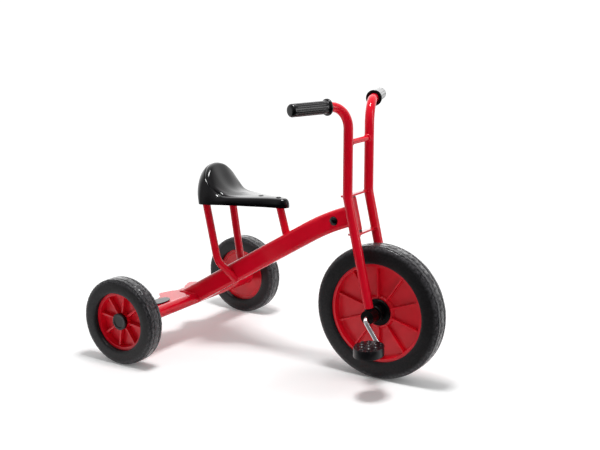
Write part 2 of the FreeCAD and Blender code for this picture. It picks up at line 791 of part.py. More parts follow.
def fork_tube_path(sign):
    """From the foot of a leg to the end of a handlebar."""
    side = "%d * fork_half_width" % sign
    rise = "(fork_bend_height - front_radius) / cos(rake)"
    knee = fork_point(0, side, rise)
    foot = fork_point(0, side, "fork_foot")
    top = V(knee.x, knee.y, mm("bar_height"))
    sweep = math.radians(mm("bar_sweep_angle"))
    outward = V(-math.sin(sweep), sign * math.cos(sweep), 0)
    end = top + outward * mm("bar_bend_radius + grip_start + grip_length - grip_end")
    return [foot, knee, top, end], outward


def fork():
    radius = mm("tube_radius")
    bends = [mm("fork_bend_radius"), mm("bar_bend_radius")]
    legs = {}
    for side, sign in LEFT_RIGHT:
        points, outward = fork_tube_path(sign)
        path = wire_of(points, bends)
        legs[side] = swept(path, radius)
        hollow = legs[side].cut(swept(path, radius - mm("tube_wall")))
        node(shaped("fork_tube_" + side, hollow))
        grip(side, points[2] + outward * mm("bar_bend_radius + grip_start"), outward)
        housing(side, sign)

    lean = fork_up()
    for label, level in (("steering_plate_lower", PLATE_LOWER),
                         ("steering_plate_upper", "plate_upper")):
        bottom = "%s - steering_plate_thick / 2" % level
        ahead = mm("steering_plate_front")
        half = mm("fork_half_width")
        nose = mm("steering_plate_nose")
        back = mm("fork_lead")
        tip = Part.makeCylinder(nose, mm("steering_plate_thick"), V(-back, 0, 0))
        flank = Part.Face(Part.makePolygon([
            V(ahead, -half, 0), V(ahead, half, 0), V(-radius, half, 0),
            V(-back, nose, 0), V(-back, -nose, 0), V(-radius, -half, 0),
            V(ahead, -half, 0)])).extrude(V(0, 0, mm("steering_plate_thick")))
        hole = Part.makeCylinder(mm("pin_radius"), mm("steering_plate_thick"), V(-back, 0, 0))
        plate = flank.fuse(tip).cut(hole)
        plate.rotate(V(), FORWARD_TO_UP, mm("rake"))
        plate.translate(fork_point(0, 0, bottom))
        plate = plate.cut([legs["left"], legs["right"]]).removeSplitter()
        plate = max(plate.Solids, key=lambda solid: solid.Volume)
        node(shaped(label, plate))

    points = fork_tube_path(1)[0]
    start = V(points[1].x, -mm("fork_half_width"),
              mm("bar_height - bar_bend_radius - brace_below_bend"))
    brace = Part.makeCylinder(mm("brace_radius"), 2 * mm("fork_half_width"), start, V(0, 1, 0))
    brace = brace.cut([legs["left"], legs["right"]])
    node(shaped("handlebar_brace", max(brace.Solids, key=lambda solid: solid.Volume)))


def grip(side, start, outward):
    label = "grip_" + side
    sleeve = turned(label, [
        ("tube_radius", 0),
        ("grip_flange_radius", 0),
        ("grip_flange_radius", "grip_flange"),
        ("grip_radius", "grip_flange + grip_neck"),
        ("grip_radius", "grip_length - grip_end"),
        ("grip_radius - grip_end_edge", "grip_length - grip_end_edge"),
        ("grip_radius - grip_end", "grip_length"),
        (0, "grip_length"),
        (0, "grip_length - grip_end"),
        ("tube_radius", "grip_length - grip_end"),
    ], "XZ_Plane")
    drawing = sketch(sleeve, label + "_flute", "XY_Plane", "grip_flange + grip_flute_margin")
    circle(drawing, "grip_flute_radius", "grip_radius + grip_flute_radius - grip_flute_depth")
    flute = sleeve.newObject("PartDesign::Pocket", label + "_flute_cut")
    flute.Profile = drawing
    flute.Reversed = True
    bind(flute, Length="grip_length - grip_flange - 2 * grip_flute_margin")
    around(sleeve, flute, drawing, "grip_flute_count")
    turn = FreeCAD.Rotation(V(0, 0, 1), outward)
    sleeve.Placement = FreeCAD.Placement(start, turn)
    node(sleeve)


def housing(side, sign):
    """The black block that holds the axle in the foot of a leg."""
    low = mm("housing_inner")
    long = mm("housing_outer") - low
    axle = V(mm(FRONT_X), 0, mm("front_radius"))
    start = axle + V(0, low if sign > 0 else -low - long, 0)
    barrel = Part.makeCylinder(mm("housing_radius"), long, start, V(0, 1, 0))
    foot = fork_point(0, "%d * fork_half_width" % sign, "fork_foot")
    up = fork_up()
    collar = Part.makeCylinder(mm("tube_radius"), mm("fork_foot"),
                               foot - up * mm("fork_foot"), up)
    spigot = Part.makeCylinder(mm("tube_radius - tube_wall"), mm("spigot_depth + fork_foot"),
                               foot - up * mm("fork_foot"), up)
    bore = Part.makeCylinder(mm("crank_radius + running_gap"), 2 * long,
                             start - V(0, long / 2, 0), V(0, 1, 0))
    block = barrel.fuse([collar, spigot]).cut(bore).removeSplitter()
    node(shaped("bearing_housing_" + side, block))


def saddle_posts(shell):
    path = beam_path()[2]
    beam_outer = path.makePipeShell([rounded_rectangle(
        beam_path()[0], beam_path()[1], mm("beam_width"), mm("beam_height"),
        mm("beam_corner"))], True, False)
    radius = mm("post_radius")
    wall = mm("post_wall")
    rear = mm(REAR_X)

    lean = math.radians(mm("front_post_angle"))
    up = V(-math.sin(lean), 0, math.cos(lean))
    foot_x = rear + mm("front_post_foot")
    foot = V(foot_x, 0, beam_height_at(foot_x))
    long = (mm("saddle_base + saddle_seat_rise") - foot.z) / up.z
    post = Part.makeCylinder(radius, long, foot, up)
    post = post.cut(Part.makeCylinder(radius - wall, long, foot, up))
    post = post.cut([beam_outer, shell])
    node(shaped("seat_post_front", max(post.Solids, key=lambda solid: solid.Volume)))

    for side, sign in LEFT_RIGHT:
        knee = V(rear + mm("rear_post_knee_ahead"), sign * mm("rear_post_knee_half"),
                 mm("rear_post_knee_height"))
        top = V(rear + mm("rear_post_top_ahead"), sign * mm("rear_post_top_half"),
                mm("saddle_base"))
        high = top + (top - knee).normalize() * mm("saddle_rise")
        weld_x = rear + mm("rear_post_weld_ahead")
        beam_side = V(weld_x, sign * mm("beam_width / 2"),
                      beam_height_at(weld_x) - mm("rear_post_weld_drop"))
        low = beam_side + (beam_side - knee).normalize() * radius
        points = [high, knee, low]
        wire = wire_of(points, [mm("rear_post_bend")])
        post = swept(wire, radius).cut(swept(wire, radius - wall))
        post = post.cut([beam_outer, shell])
        node(shaped("seat_post_" + side, max(post.Solids, key=lambda solid: solid.Volume)))


def saddle_rows():
    """Points over the saddle: a row for each height of the section, round the outline."""
    length = mm("saddle_length")
    half = mm("saddle_half_width")
    rise = mm("saddle_rise")
    base = mm("saddle_base")
    seat = mm("saddle_base + saddle_seat_rise")
    heel = mm(REAR_X + " + saddle_heel_ahead")
    sections = []
    for foot_x, foot_y, ridge_x, ridge_y, ridge_z, belly, back, rim_x, rim_y in SADDLE_SHARES:
        foot = V(heel + foot_x * length, foot_y * half, base)
        ridge = V(heel + ridge_x * length, ridge_y * half, base + ridge_z * rise)
        rim = V(heel + rim_x * length, rim_y * half, seat)
        section = []
        for tall, low in zip(BACK_WALL_SHARES, EDGE_WALL_SHARES):
            inward, upward, behind = [back * a + (1 - back) * b for a, b in zip(tall, low)]
            point = foot + (ridge - foot) * inward
            point.z = base + (ridge.z - base) * upward
            point.x -= behind * belly * mm("saddle_belly")
            section.append(point)
        for inward, above in FACE_SHARES:
            point = ridge + (rim - ridge) * inward
            point.z = seat + (ridge.z - seat) * above
            section.append(point)
        sections.append(section)
    mirrored = [[V(point.x, -point.y, point.z) for point in section]
                for section in reversed(sections[1:-1])]
    return list(zip(*(sections + mirrored)))


def inset_rows(rows, inset):
    """The same rows moved inward through the wall; the foot stays level, and so does the seat."""
    last = len(rows) - 1
    count = len(rows[0])
    moved = []
    for level, row in enumerate(rows):
        above = rows[min(level + 1, last)]
        below = rows[max(level - 1, 0)]
        line = []
        for number, point in enumerate(row):
            onward = row[(number + 1) % count] - row[number - 1]
            inward = above[number] - below[number]
            if level == 0:
                inward = V(0, 0, 1)
            normal = onward.cross(inward).normalize()
            if level >= last - 1:
                normal = V(0, 0, normal.z / abs(normal.z))
            line.append(point + normal * inset)
        moved.append(line)
    return moved


def saddle_block(rows):
    """A smooth skin through the rows, closed round the outline, over a flat seat and foot."""
    count = len(rows[0])
    grid = [[None] * len(rows) for number in range(count)]
    for level, row in enumerate(rows):
        for number, point in enumerate(row):
            beside = row[number - 1] + row[(number + 1) % count]
            pole = point + (point * 2 - beside) / 6
            if 0 < level < len(rows) - 1:
                beside = rows[level - 1][number] + rows[level + 1][number]
                pole += (point * 2 - beside) / 6
            grid[number][level] = pole
    spans = len(rows) - 3
    skin = Part.BSplineSurface()
    skin.buildFromPolesMultsKnots(
        grid, [1] * (count + 1), [4] + [1] * (spans - 1) + [4],
        list(range(count + 1)), list(range(spans + 1)), True, False, 3, 3)
    ends = [Part.Face(Part.Wire([skin.vIso(end).toShape()])) for end in (0, spans)]
    block = Part.Shell([skin.toShape()] + ends)
    block.sewShape()
    block = Part.Solid(block)
    block.fix(0, 0, 0)
    if block.Volume < 0:
        block.reverse()
    return block


def saddle():
    rows = saddle_rows()
    shell = saddle_block(rows).cut(saddle_block(inset_rows(rows, mm("saddle_wall"))))
    shell = max(shell.Solids, key=lambda solid: solid.Volume)
    node(shaped("saddle", shell))
    return shell


front_wheel()
crank_axle()
pedals()
rear_wheels()
rear_steelwork()
step_plate()
main_beam()
head_set()
fork()
saddle_posts(saddle())

doc.recompute()
for thing in doc.Objects:
    if "Invalid" in thing.State or "Error" in thing.State:
        raise RuntimeError("%s failed: %s" % (thing.Name, thing.State))
for thing in NODES:
    if thing.Shape.isNull() or not thing.Shape.isValid():
        raise RuntimeError("%s has no valid shape" % thing.Label)

os.makedirs("parts", exist_ok=True)
for thing in NODES:
    thing.Shape.exportStep("parts/%s.step" % thing.Label)
    box = thing.Shape.BoundBox
    print("%-22s solids %d volume %9.0f box %s" % (
        thing.Label, len(thing.Shape.Solids), thing.Shape.Volume,
        [round(edge, 1) for edge in (box.XMin, box.XMax, box.YMin, box.YMax,
                                     box.ZMin, box.ZMax)]))
print(len(NODES), "nodes")
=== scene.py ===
import bpy
import json
import math
import numpy as np
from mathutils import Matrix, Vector


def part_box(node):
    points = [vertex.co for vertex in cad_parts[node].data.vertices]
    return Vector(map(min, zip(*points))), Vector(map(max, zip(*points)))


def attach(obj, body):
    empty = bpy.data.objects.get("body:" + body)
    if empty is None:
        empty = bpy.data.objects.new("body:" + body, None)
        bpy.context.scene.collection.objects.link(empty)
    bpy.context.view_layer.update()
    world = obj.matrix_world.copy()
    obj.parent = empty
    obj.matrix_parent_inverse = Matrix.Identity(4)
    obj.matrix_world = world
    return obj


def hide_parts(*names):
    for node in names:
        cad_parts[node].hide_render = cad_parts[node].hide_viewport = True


# A child's steel tricycle: red powder-coated tubes, ribbed plastic wheels with solid
# rubber tyres, a moulded black saddle and a chromed crank with rubber pedals.
# Everything is in metres, +X forward, +Y to the rider's left, +Z up.

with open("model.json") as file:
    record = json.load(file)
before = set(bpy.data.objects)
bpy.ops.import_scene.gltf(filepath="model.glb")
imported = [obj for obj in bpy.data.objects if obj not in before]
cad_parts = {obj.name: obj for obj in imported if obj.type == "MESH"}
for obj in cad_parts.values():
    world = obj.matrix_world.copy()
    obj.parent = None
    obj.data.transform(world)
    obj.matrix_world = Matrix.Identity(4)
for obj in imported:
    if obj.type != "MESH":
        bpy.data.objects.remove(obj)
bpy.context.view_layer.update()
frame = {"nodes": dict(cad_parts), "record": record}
MM = 0.001


def place_of(node):
    """Middle and half size of a CAD node's box."""
    low, high = (np.array(corner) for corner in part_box(node))
    return (low + high) / 2, (high - low) / 2


FRONT, FRONT_HALF = place_of("front_tyre")
REAR, REAR_HALF = place_of("rear_tyre_left")
SIDES = (("left", 1), ("right", -1))
ACROSS = np.array([0.0, 1.0, 0.0])
UP = np.array([0.0, 0.0, 1.0])

# Steelwork of the fork and the frame
RAKE = math.radians(13.1)
FORK_UP = np.array([-math.sin(RAKE), 0.0, math.cos(RAKE)])
FORK_AHEAD = np.array([math.cos(RAKE), 0.0, math.sin(RAKE)])
FORK_HALF_WIDTH = 45.5 * MM
TUBE_RADIUS = 10.5 * MM
BRACE, BRACE_HALF = place_of("handlebar_brace")
CROSS_TUBE, CROSS_HALF = place_of("rear_cross_tube")
AXLE_TUBE, AXLE_TUBE_HALF = place_of("axle_tube")
PLATE_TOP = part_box("rear_platform")[1][2]
BEAM_FOOT_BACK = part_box("main_beam")[0][0]
BEAM_HALF_WIDTH = 17.5 * MM


# Meshes

def skin(name, rows, body, replaced=(), wrap=False, start=None, end=None, sharp=40,
         attributes=None):
    """A piece from rings of points: row after row is joined, each row closed on itself.

    wrap joins the last row to the first; start and end are points that close the ends
    with fans. The faces are turned outward by the sign of the enclosed volume.
    """
    rows = np.asarray(rows, dtype=float)
    levels, count = rows.shape[:2]
    index = np.arange(levels * count).reshape(levels, count)
    if wrap:
        index = np.vstack([index, index[:1]])
    beside = np.roll(index, -1, axis=1)
    faces = np.stack([index[:-1], beside[:-1], beside[1:], index[1:]], axis=-1)
    faces = faces.reshape(-1, 4).tolist()
    points = rows.reshape(-1, 3)
    for tip, ring, order in ((start, index[0], 1), (end, index[-1], -1)):
        if tip is None:
            continue
        centre = len(points)
        points = np.vstack([points, tip])
        following = np.roll(ring, -1)
        fan = np.stack([np.full(count, centre), following, ring], axis=-1)
        faces += fan[:, ::order].tolist()
    corners = [(face[0], face[i], face[i + 1]) for face in faces for i in range(1, len(face) - 1)]
    corners = points[np.array(corners)]
    volume = np.einsum("ij,ij->", corners[:, 0], np.cross(corners[:, 1], corners[:, 2]))
    if volume < 0:
        faces = [face[::-1] for face in faces]
    mesh = bpy.data.meshes.new(name)
    mesh.from_pydata(points.tolist(), [], faces)
    for label, values in (attributes or {}).items():
        values = np.append(np.asarray(values).reshape(-1),
                           np.zeros(len(points) - levels * count))
        layer = mesh.attributes.new(label, "FLOAT", "POINT")
        layer.data.foreach_set("value", values.astype(np.float32))
    return piece(name, mesh, body, replaced, sharp)


def piece(name, mesh, body, replaced=(), sharp=40):
    """An object that rides on its body, smooth up to sharp degrees between its faces."""
    mesh.polygons.foreach_set("use_smooth", np.ones(len(mesh.polygons), dtype=bool))
    mesh.set_sharp_from_angle(angle=math.radians(sharp))
    mesh.validate()
    thing = bpy.data.objects.new(name, mesh)
    bpy.context.scene.collection.objects.link(thing)
    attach(thing, body)
    if replaced:
        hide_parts(*replaced)
    return thing


def spline_weights(count, samples, closed):
    """Cubic B-spline weights: a row of weights over the poles for each sample.

    A weight of order 0 is 1 on its own span of knots, and each higher order blends two
    neighbours of the order below. A closed spline repeats its poles; an open one is clamped to
    its first and last pole.
    """
    degree = 3
    if closed:
        knots = np.arange(-degree, count + degree + 1, dtype=float)
        poles = count + degree
        places = np.linspace(0, count, samples, endpoint=False)
    else:
        spans = count - degree
        knots = np.concatenate([np.zeros(degree), np.arange(spans + 1), np.full(degree, spans)])
        poles = count
        places = np.linspace(0, spans, samples) * (1 - 1e-9)
    weights = ((places[:, None] >= knots[:-1]) & (places[:, None] < knots[1:])).astype(float)
    for order in range(1, degree + 1):
        fewer = len(knots) - 1 - order
        rise = knots[order:order + fewer] - knots[:fewer]
        fall = knots[order + 1:order + 1 + fewer] - knots[1:1 + fewer]
        up = (places[:, None] - knots[:fewer]) / np.where(rise > 0, rise, 1) * (rise > 0)
        down = (knots[order + 1:order + 1 + fewer] - places[:, None]) / np.where(fall > 0, fall, 1)
        weights = up * weights[:, :fewer] + down * (fall > 0) * weights[:, 1:fewer + 1]
    if closed:
        weights[:, :degree] += weights[:, count:poles]
        weights = weights[:, :count]
    return weights


def rounded_profile(points, radius, steps=5):
    """An open outline with every inner corner rounded by an arc-like blend of three points.

    Each corner is replaced by a quadratic curve that leaves one edge and joins the next a
    radius away, or half the edge away where the edge is short.
    """
    points = np.asarray(points, dtype=float)
    out = [points[:1]]
    share = np.linspace(0, 1, steps)[:, None]
    for before, corner, after in zip(points[:-2], points[1:-1], points[2:]):
        back = before - corner
        ahead = after - corner
        back *= min(radius, np.linalg.norm(back) / 2) / np.linalg.norm(back)
        ahead *= min(radius, np.linalg.norm(ahead) / 2) / np.linalg.norm(ahead)
        start, finish = corner + back, corner + ahead
        out.append((1 - share) ** 2 * start + 2 * share * (1 - share) * corner
                   + share ** 2 * finish)
    out.append(points[-1:])
    return np.vstack(out)


def across_axis(axis):
    """Two unit vectors across an axis; the first is as near to upward as it can be."""
    axis = np.asarray(axis, dtype=float) / np.linalg.norm(axis)
    first = UP - axis * axis[2] if abs(axis[2]) < 0.99 else np.array([1.0, 0.0, 0.0])
    first = first / np.linalg.norm(first)
    return axis, first, np.cross(axis, first)


def spun(outline, centre, axis, steps=96, ripple=None):
    """Rings about any axis: centre + along * axis + radius * (cos a * first + sin a * second).

    outline holds (radius, along) rows; ripple(radius, along, angle) may change the radius.
    """
    axis, first, second = across_axis(axis)
    outline = np.asarray(outline, dtype=float)
    radius, along = outline[:, 0:1], outline[:, 1:2]
    turn = np.linspace(0, 2 * math.pi, steps, endpoint=False)[None]
    radius = radius + 0 * turn
    if ripple is not None:
        radius = ripple(radius, along, turn)
    return (np.asarray(centre) + along[..., None] * axis
            + (radius * np.cos(turn))[..., None] * first
            + (radius * np.sin(turn))[..., None] * second)


WELD_DROP = 3 * MM
WELD_SWELL_SHARE = 0.16
WELD_TIP_SHARE = 0.05
OFF_AXIS = (0.31, 0.52, 0.79)


def bead(name, path, body, radius, closed=True, steps=10):
    """A weld: a round bead along a path, swelling like laid drops.

    After a run s its radius is radius * (1 + swell share * |sin(pi * s / drop)|); an open bead
    thins at its ends with the square root of the way to the end. No weld runs along OFF_AXIS,
    so its cross product with the path is a direction to the side.
    """
    path = np.asarray(path, dtype=float)
    if closed:
        ahead = np.roll(path, -1, axis=0) - np.roll(path, 1, axis=0)
    else:
        ahead = np.gradient(path, axis=0)
    stride = np.linalg.norm(ahead, axis=1)
    ahead /= stride[:, None]
    run = np.cumsum(stride / 2)
    side = np.cross(ahead, OFF_AXIS)
    side /= np.linalg.norm(side, axis=1)[:, None]
    up = np.cross(ahead, side)
    turn = np.linspace(0, 2 * math.pi, steps, endpoint=False)
    swell = radius * (1 + WELD_SWELL_SHARE * np.abs(np.sin(math.pi * run / WELD_DROP)))
    if not closed:
        swell *= np.sqrt(np.clip(np.minimum(run, run[-1] - run) / radius,
                                 WELD_TIP_SHARE, 1))
    rings = path[:, None] + swell[:, None, None] * (np.cos(turn)[:, None] * side[:, None]
                                                    + np.sin(turn)[:, None] * up[:, None])
    ends = (None, None) if closed else (path[0], path[-1])
    finish(skin(name, rings, body, wrap=closed, start=ends[0], end=ends[1], sharp=180),
           "red_paint")


# Materials

def linear(colour):
    """Linear red, green, blue and alpha of an sRGB hex colour."""
    shares = [int(colour[i:i + 2], 16) / 255 for i in (1, 3, 5)]
    shares = [s / 12.92 if s <= 0.04045 else ((s + 0.055) / 1.055) ** 2.4 for s in shares]
    return (*shares, 1.0)


def add(tree, kind, inputs=None, stops=(), **settings):
    """Adds a node with its settings; stops are a ramp's two (place, sRGB hex) colours.

    An input that is a socket is linked, any other is set.
    """
    made = tree.nodes.new(kind)
    for name, value in settings.items():
        setattr(made, name, value)
    for number, (where, colour) in enumerate(stops):
        stop = made.color_ramp.elements[number]
        stop.position = where
        stop.color = linear(colour)
    for name, value in (inputs or {}).items():
        if isinstance(value, bpy.types.NodeSocket):
            tree.links.new(value, made.inputs[name])
        else:
            made.inputs[name].default_value = value
    return made


def surface(name, cloud=None, stops=(), gloss=None, relief=None, **sockets):
    """A material with a Principled shader; returns it, its tree, the shader and the places.

    cloud is a noise on Object coordinates: the size of its waves in metres, detail and
    roughness. It grades the colour between the two stops and the shader's roughness between
    the two values of gloss. relief is a finer noise, with its height in metres after it.
    """
    made = bpy.data.materials.new(name)
    made.use_nodes = True
    tree = made.node_tree
    shader = tree.nodes["Principled BSDF"]
    for label, value in sockets.items():
        shader.inputs[label.replace("_", " ")].default_value = value
    places = add(tree, "ShaderNodeTexCoord").outputs["Object"]
    if cloud:
        size, detail, roughness = cloud
        amount = add(tree, "ShaderNodeTexNoise", {
            "Vector": places, "Scale": 1 / size, "Detail": detail,
            "Roughness": roughness}).outputs["Fac"]
        colour = add(tree, "ShaderNodeValToRGB", {"Fac": amount}, stops).outputs["Color"]
        tree.links.new(colour, shader.inputs["Base Color"])
    if gloss:
        dull = add(tree, "ShaderNodeMapRange", {
            "Value": amount, "To Min": gloss[0], "To Max": gloss[1]}).outputs["Result"]
        tree.links.new(dull, shader.inputs["Roughness"])
    if relief:
        size, detail, roughness, depth = relief
        height = add(tree, "ShaderNodeTexNoise", {
            "Vector": places, "Scale": 1 / size, "Detail": detail,
            "Roughness": roughness}).outputs["Fac"]
        bump = add(tree, "ShaderNodeBump", {"Height": height, "Distance": depth, "Strength": 1.0})
        tree.links.new(bump.outputs["Normal"], shader.inputs["Normal"])
    return made, tree, shader, places


def powder_coated_steel():
    """Glossy polyester powder: its orange peel, in waves of 4 mm, breaks up reflections.

    The colour drifts with the thickness of the coat, over 60 mm, and the gloss over 9 mm.
    """
    made, tree, shader, places = surface(
        "powder_coated_steel", (60 * MM, 3.0, 0.5), ((0.3, "#CE0A22"), (0.7, "#D80E28")),
        relief=(4 * MM, 2.0, 0.5, 0.012 * MM), Roughness=0.1, IOR=1.34)
    drift = add(tree, "ShaderNodeTexNoise", {
        "Vector": places, "Scale": 1 / (9 * MM), "Detail": 2.0, "Roughness": 0.5}).outputs["Fac"]
    dull = add(tree, "ShaderNodeMapRange", {"Value": drift, "To Min": 0.07, "To Max": 0.13})
    tree.links.new(dull.outputs["Result"], shader.inputs["Roughness"])
    return made


def moulded_polypropylene():
    """Satin red moulding: softer gloss than the paint, with faint flow marks 25 mm wide.

    The grain of such a mould is a few tenths of a millimetre, too fine to show, so it is
    drawn 1.2 mm wide.
    """
    return surface("moulded_polypropylene", (25 * MM, 4.0, 0.6),
                   ((0.25, "#D8021E"), (0.75, "#E50A26")), (0.28, 0.38),
                   (1.2 * MM, 3.0, 0.5, 0.008 * MM), Roughness=0.32, IOR=1.5)[0]


def moulded_polyethylene():
    """Black saddle, caps, plugs and bushes: soft gloss in clouds 18 mm wide, over a fine grain.

    The leather-like grain is under a millimetre wide on a real one, too fine to show, so it is
    drawn 1.6 mm wide.
    """
    return surface("moulded_polyethylene", (18 * MM, 4.0, 0.6),
                   ((0.3, "#040305"), (0.7, "#080709")), (0.11, 0.19),
                   (1.6 * MM, 3.0, 0.6, 0.008 * MM), Roughness=0.15, IOR=1.47)[0]


def glass_filled_nylon():
    """Hub shells and bearing housings: dense black nylon, satin with small bright edges.

    Fibres cloud its surface over 10 mm. They are thinner than a hair, so they are drawn as a
    grain 1 mm wide.
    """
    return surface("glass_filled_nylon", (10 * MM, 4.0, 0.6),
                   ((0.3, "#030304"), (0.7, "#070708")), (0.3, 0.4),
                   (1.0 * MM, 3.0, 0.6, 0.01 * MM), Roughness=0.35, IOR=1.27)[0]


def solid_rubber_tyre():
    """Dark carbon-black rubber, greyer and rubbed smooth on the lands of the tread, where
    wear_and_painted_light is 1: the lighter lands are partly wear and partly a painted sheen, and
    the dark grooves are painted shade.

    Dust lies in blots 5 mm wide, and scuffs 4 mm wide dent the surface by a quarter of one.
    """
    made, tree, shader, places = surface(
        "solid_rubber_tyre", relief=(4 * MM, 3.0, 0.6, 0.25 * MM), Roughness=0.45, IOR=1.39)
    wear_and_painted_light = add(tree, "ShaderNodeAttribute", attribute_name="wear_and_painted_light").outputs["Fac"]
    cloud = add(tree, "ShaderNodeTexNoise", {
        "Vector": places, "Scale": 1 / (5 * MM), "Detail": 4.0, "Roughness": 0.7}).outputs["Fac"]
    # Wall and groove colour, then land colour: the lighter lands are partly wear and partly painted
    # sheen, the darker grooves painted shade
    side = add(tree, "ShaderNodeValToRGB", {"Fac": cloud},
               ((0.35, "#050406"), (0.65, "#1D1C1F"))).outputs["Color"]
    tread = add(tree, "ShaderNodeValToRGB", {"Fac": cloud},
                ((0.35, "#121113"), (0.65, "#4E4D50"))).outputs["Color"]
    # Inputs 6 and 7 are the two colours of a Mix node, and output 2 is the mixed one
    mixed = add(tree, "ShaderNodeMix", {"Factor": wear_and_painted_light, 6: side, 7: tread}, data_type="RGBA")
    tree.links.new(mixed.outputs[2], shader.inputs["Base Color"])
    dull = add(tree, "ShaderNodeMapRange", {"Value": wear_and_painted_light, "To Min": 0.42, "To Max": 0.25})
    tree.links.new(dull.outputs["Result"], shader.inputs["Roughness"])
    return made


def soft_rubber():
    """Pedals and step pads: matt black rubber with a faint bloom, in clouds 12 mm wide.

    Its moulded texture is finer than it can show, so it is drawn 1 mm wide.
    """
    return surface("soft_rubber", (12 * MM, 4.0, 0.6),
                   ((0.25, "#0D0C0F"), (0.75, "#18171B")), (0.24, 0.36),
                   (1.0 * MM, 3.0, 0.6, 0.02 * MM), Roughness=0.3, IOR=1.45)[0]


def moulded_vinyl():
    """Slip-on grips: black vinyl with a soft gloss, so the flutes draw pale lines.

    Its gloss clouds over 12 mm, and its skin is uneven over 2 mm.
    """
    return surface("moulded_vinyl", (12 * MM, 4.0, 0.6),
                   ((0.25, "#050406"), (0.75, "#0B0A0D")), (0.16, 0.26),
                   (2.0 * MM, 2.0, 0.5, 0.006 * MM), Roughness=0.22, IOR=1.43)[0]


def chromed_steel():
    """Bright chrome over polished bar: a polishing haze clouds its mirror, over 8 mm."""
    return surface("chromed_steel", (8 * MM, 4.0, 0.5), ((0.2, "#D2D2D6"), (0.8, "#E4E4E6")),
                   (0.08, 0.2), Metallic=1.0, Roughness=0.12)[0]


def zinc_plated_steel():
    """Bluish zinc on plain steel: dull bright grey, clouded over 3 mm like crystals.

    The plated grain is too fine to show, so it is drawn 0.6 mm wide.
    """
    return surface("zinc_plated_steel", (3 * MM, 4.0, 0.7), ((0.2, "#9C9FA3"), (0.8, "#BABCC0")),
                   (0.28, 0.45), (0.6 * MM, 2.0, 0.5, 0.01 * MM), Metallic=1.0, Roughness=0.35)[0]


NYLON = glass_filled_nylon()
VINYL = moulded_vinyl()
FINISHES = {
    "red_paint": powder_coated_steel(),
    "red_plastic": moulded_polypropylene(),
    "black_plastic": moulded_polyethylene(),
    "tyre_rubber": solid_rubber_tyre(),
    "black_rubber": soft_rubber(),
    "chrome": chromed_steel(),
    "zinc_steel": zinc_plated_steel(),
}


def finish(thing, name, material=None):
    """Gives a piece one material: the one given, or else the finish of that slot name."""
    thing.data.materials.clear()
    thing.data.materials.append(material or FINISHES[name])
    return thing


def finish_frame():
    """The CAD nodes that stay keep their shape and take the finish of their slot.

    The hub shells and bearing housings are nylon, which is duller than the caps.
    """
    for part in frame["record"]["subparts"]:
        thing = frame["nodes"][part["node"]]
        for place in range(len(thing.material_slots)):
            thing.material_slots[place].material = FINISHES[part["material_slot"]]
    for side, _ in SIDES:
        for name in ("front_hub_", "bearing_housing_"):
            frame["nodes"][name + side].material_slots[0].material = NYLON


# Saddle

SADDLE_LENGTH = 214 * MM
SADDLE_HALF_WIDTH = 78.5 * MM
SADDLE_RISE = 85 * MM
SADDLE_SEAT_RISE = 18 * MM
SADDLE_BELLY = 21 * MM
SADDLE_WALL = 4 * MM
# The left half from the middle of the back to the tip of the nose: foot (along, across),
# ridge (along, across, up), belly of the wall backward, back or seat's edge, and the rim of
# the flat seat (along, across), as shares of length, half width, rise and belly
SADDLE_SHARES = (
    (0.000, 0.000, 0.070, 0.000, 0.994, 1.00, 1.0, 0.395, 0.000),
    (0.007, 0.306, 0.081, 0.280, 0.941, 0.97, 1.0, 0.398, 0.045),
    (0.026, 0.599, 0.096, 0.437, 0.853, 0.88, 1.0, 0.406, 0.080),
    (0.058, 0.854, 0.113, 0.590, 0.718, 0.62, 1.0, 0.418, 0.110),
    (0.112, 1.000, 0.142, 0.662, 0.582, 0.25, 1.0, 0.434, 0.140),
    (0.182, 0.936, 0.197, 0.675, 0.400, 0.00, 0.9, 0.455, 0.165),
    (0.271, 0.828, 0.270, 0.605, 0.240, 0.00, 0.5, 0.482, 0.185),
    (0.379, 0.688, 0.372, 0.550, 0.210, 0.00, 0.0, 0.520, 0.195),
    (0.500, 0.567, 0.489, 0.445, 0.204, 0.00, 0.0, 0.570, 0.195),
    (0.631, 0.441, 0.617, 0.325, 0.204, 0.00, 0.0, 0.636, 0.168),
    (0.766, 0.306, 0.748, 0.198, 0.204, 0.00, 0.0, 0.706, 0.115),
    (0.865, 0.237, 0.845, 0.142, 0.204, 0.00, 0.0, 0.775, 0.078),
    (0.955, 0.180, 0.918, 0.100, 0.204, 0.00, 0.0, 0.822, 0.047),
    (1.000, 0.000, 0.950, 0.000, 0.204, 0.00, 0.0, 0.836, 0.000),
)
# From the foot to the ridge, at the back and at the seat's edge: the way inward, the way up
# and the belly
BACK_WALL_SHARES = (
    (0.00, 0.000, 0.00),
    (0.18, 0.265, 0.68),
    (0.42, 0.560, 1.00),
    (0.72, 0.820, 1.06),
    (0.91, 0.985, 0.60),
    (1.00, 1.000, 0.00),
)
EDGE_WALL_SHARES = (
    (0.00, 0.000, 0.00),
    (0.02, 0.300, 0.00),
    (0.10, 0.560, 0.00),
    (0.29, 0.790, 0.00),
    (0.60, 0.940, 0.00),
    (1.00, 1.000, 0.00),
)
# From the ridge to the rim of the flat seat: the way inward and the height left
FACE_SHARES = ((0.09, 0.940), (0.24, 0.680), (0.45, 0.300), (0.72, 0.050), (1.00, 0.000))
# Rows and steps of the grid, and the seat's rings, which shrink to a share of its rim
OUTER_ROWS = 120
INNER_ROWS = 50
AROUND_STEPS = 260
SEAT_RINGS = 15
SEAT_MIDDLE_SHARE = 0.04
SEAT_CROWN = 0.4 * MM
# The groove lies beside the ridge, in rows of the grid, and shows on the tall back alone
GROOVE_ROW = 47
GROOVE_ROWS_WIDE = 2.2
GROOVE_DEPTH = 1.0 * MM
GROOVE_FOOT = 30 * MM
GROOVE_FADE = 12 * MM
HOLLOW_ROW = 56
HOLLOW_FADE_ROWS = 30
HOLLOW_TURNS = 320
NOSE_LIFT = 3.5 * MM
NOSE_REACH = 2.5 * MM
NOSE_RUN = 0.75 * SADDLE_LENGTH
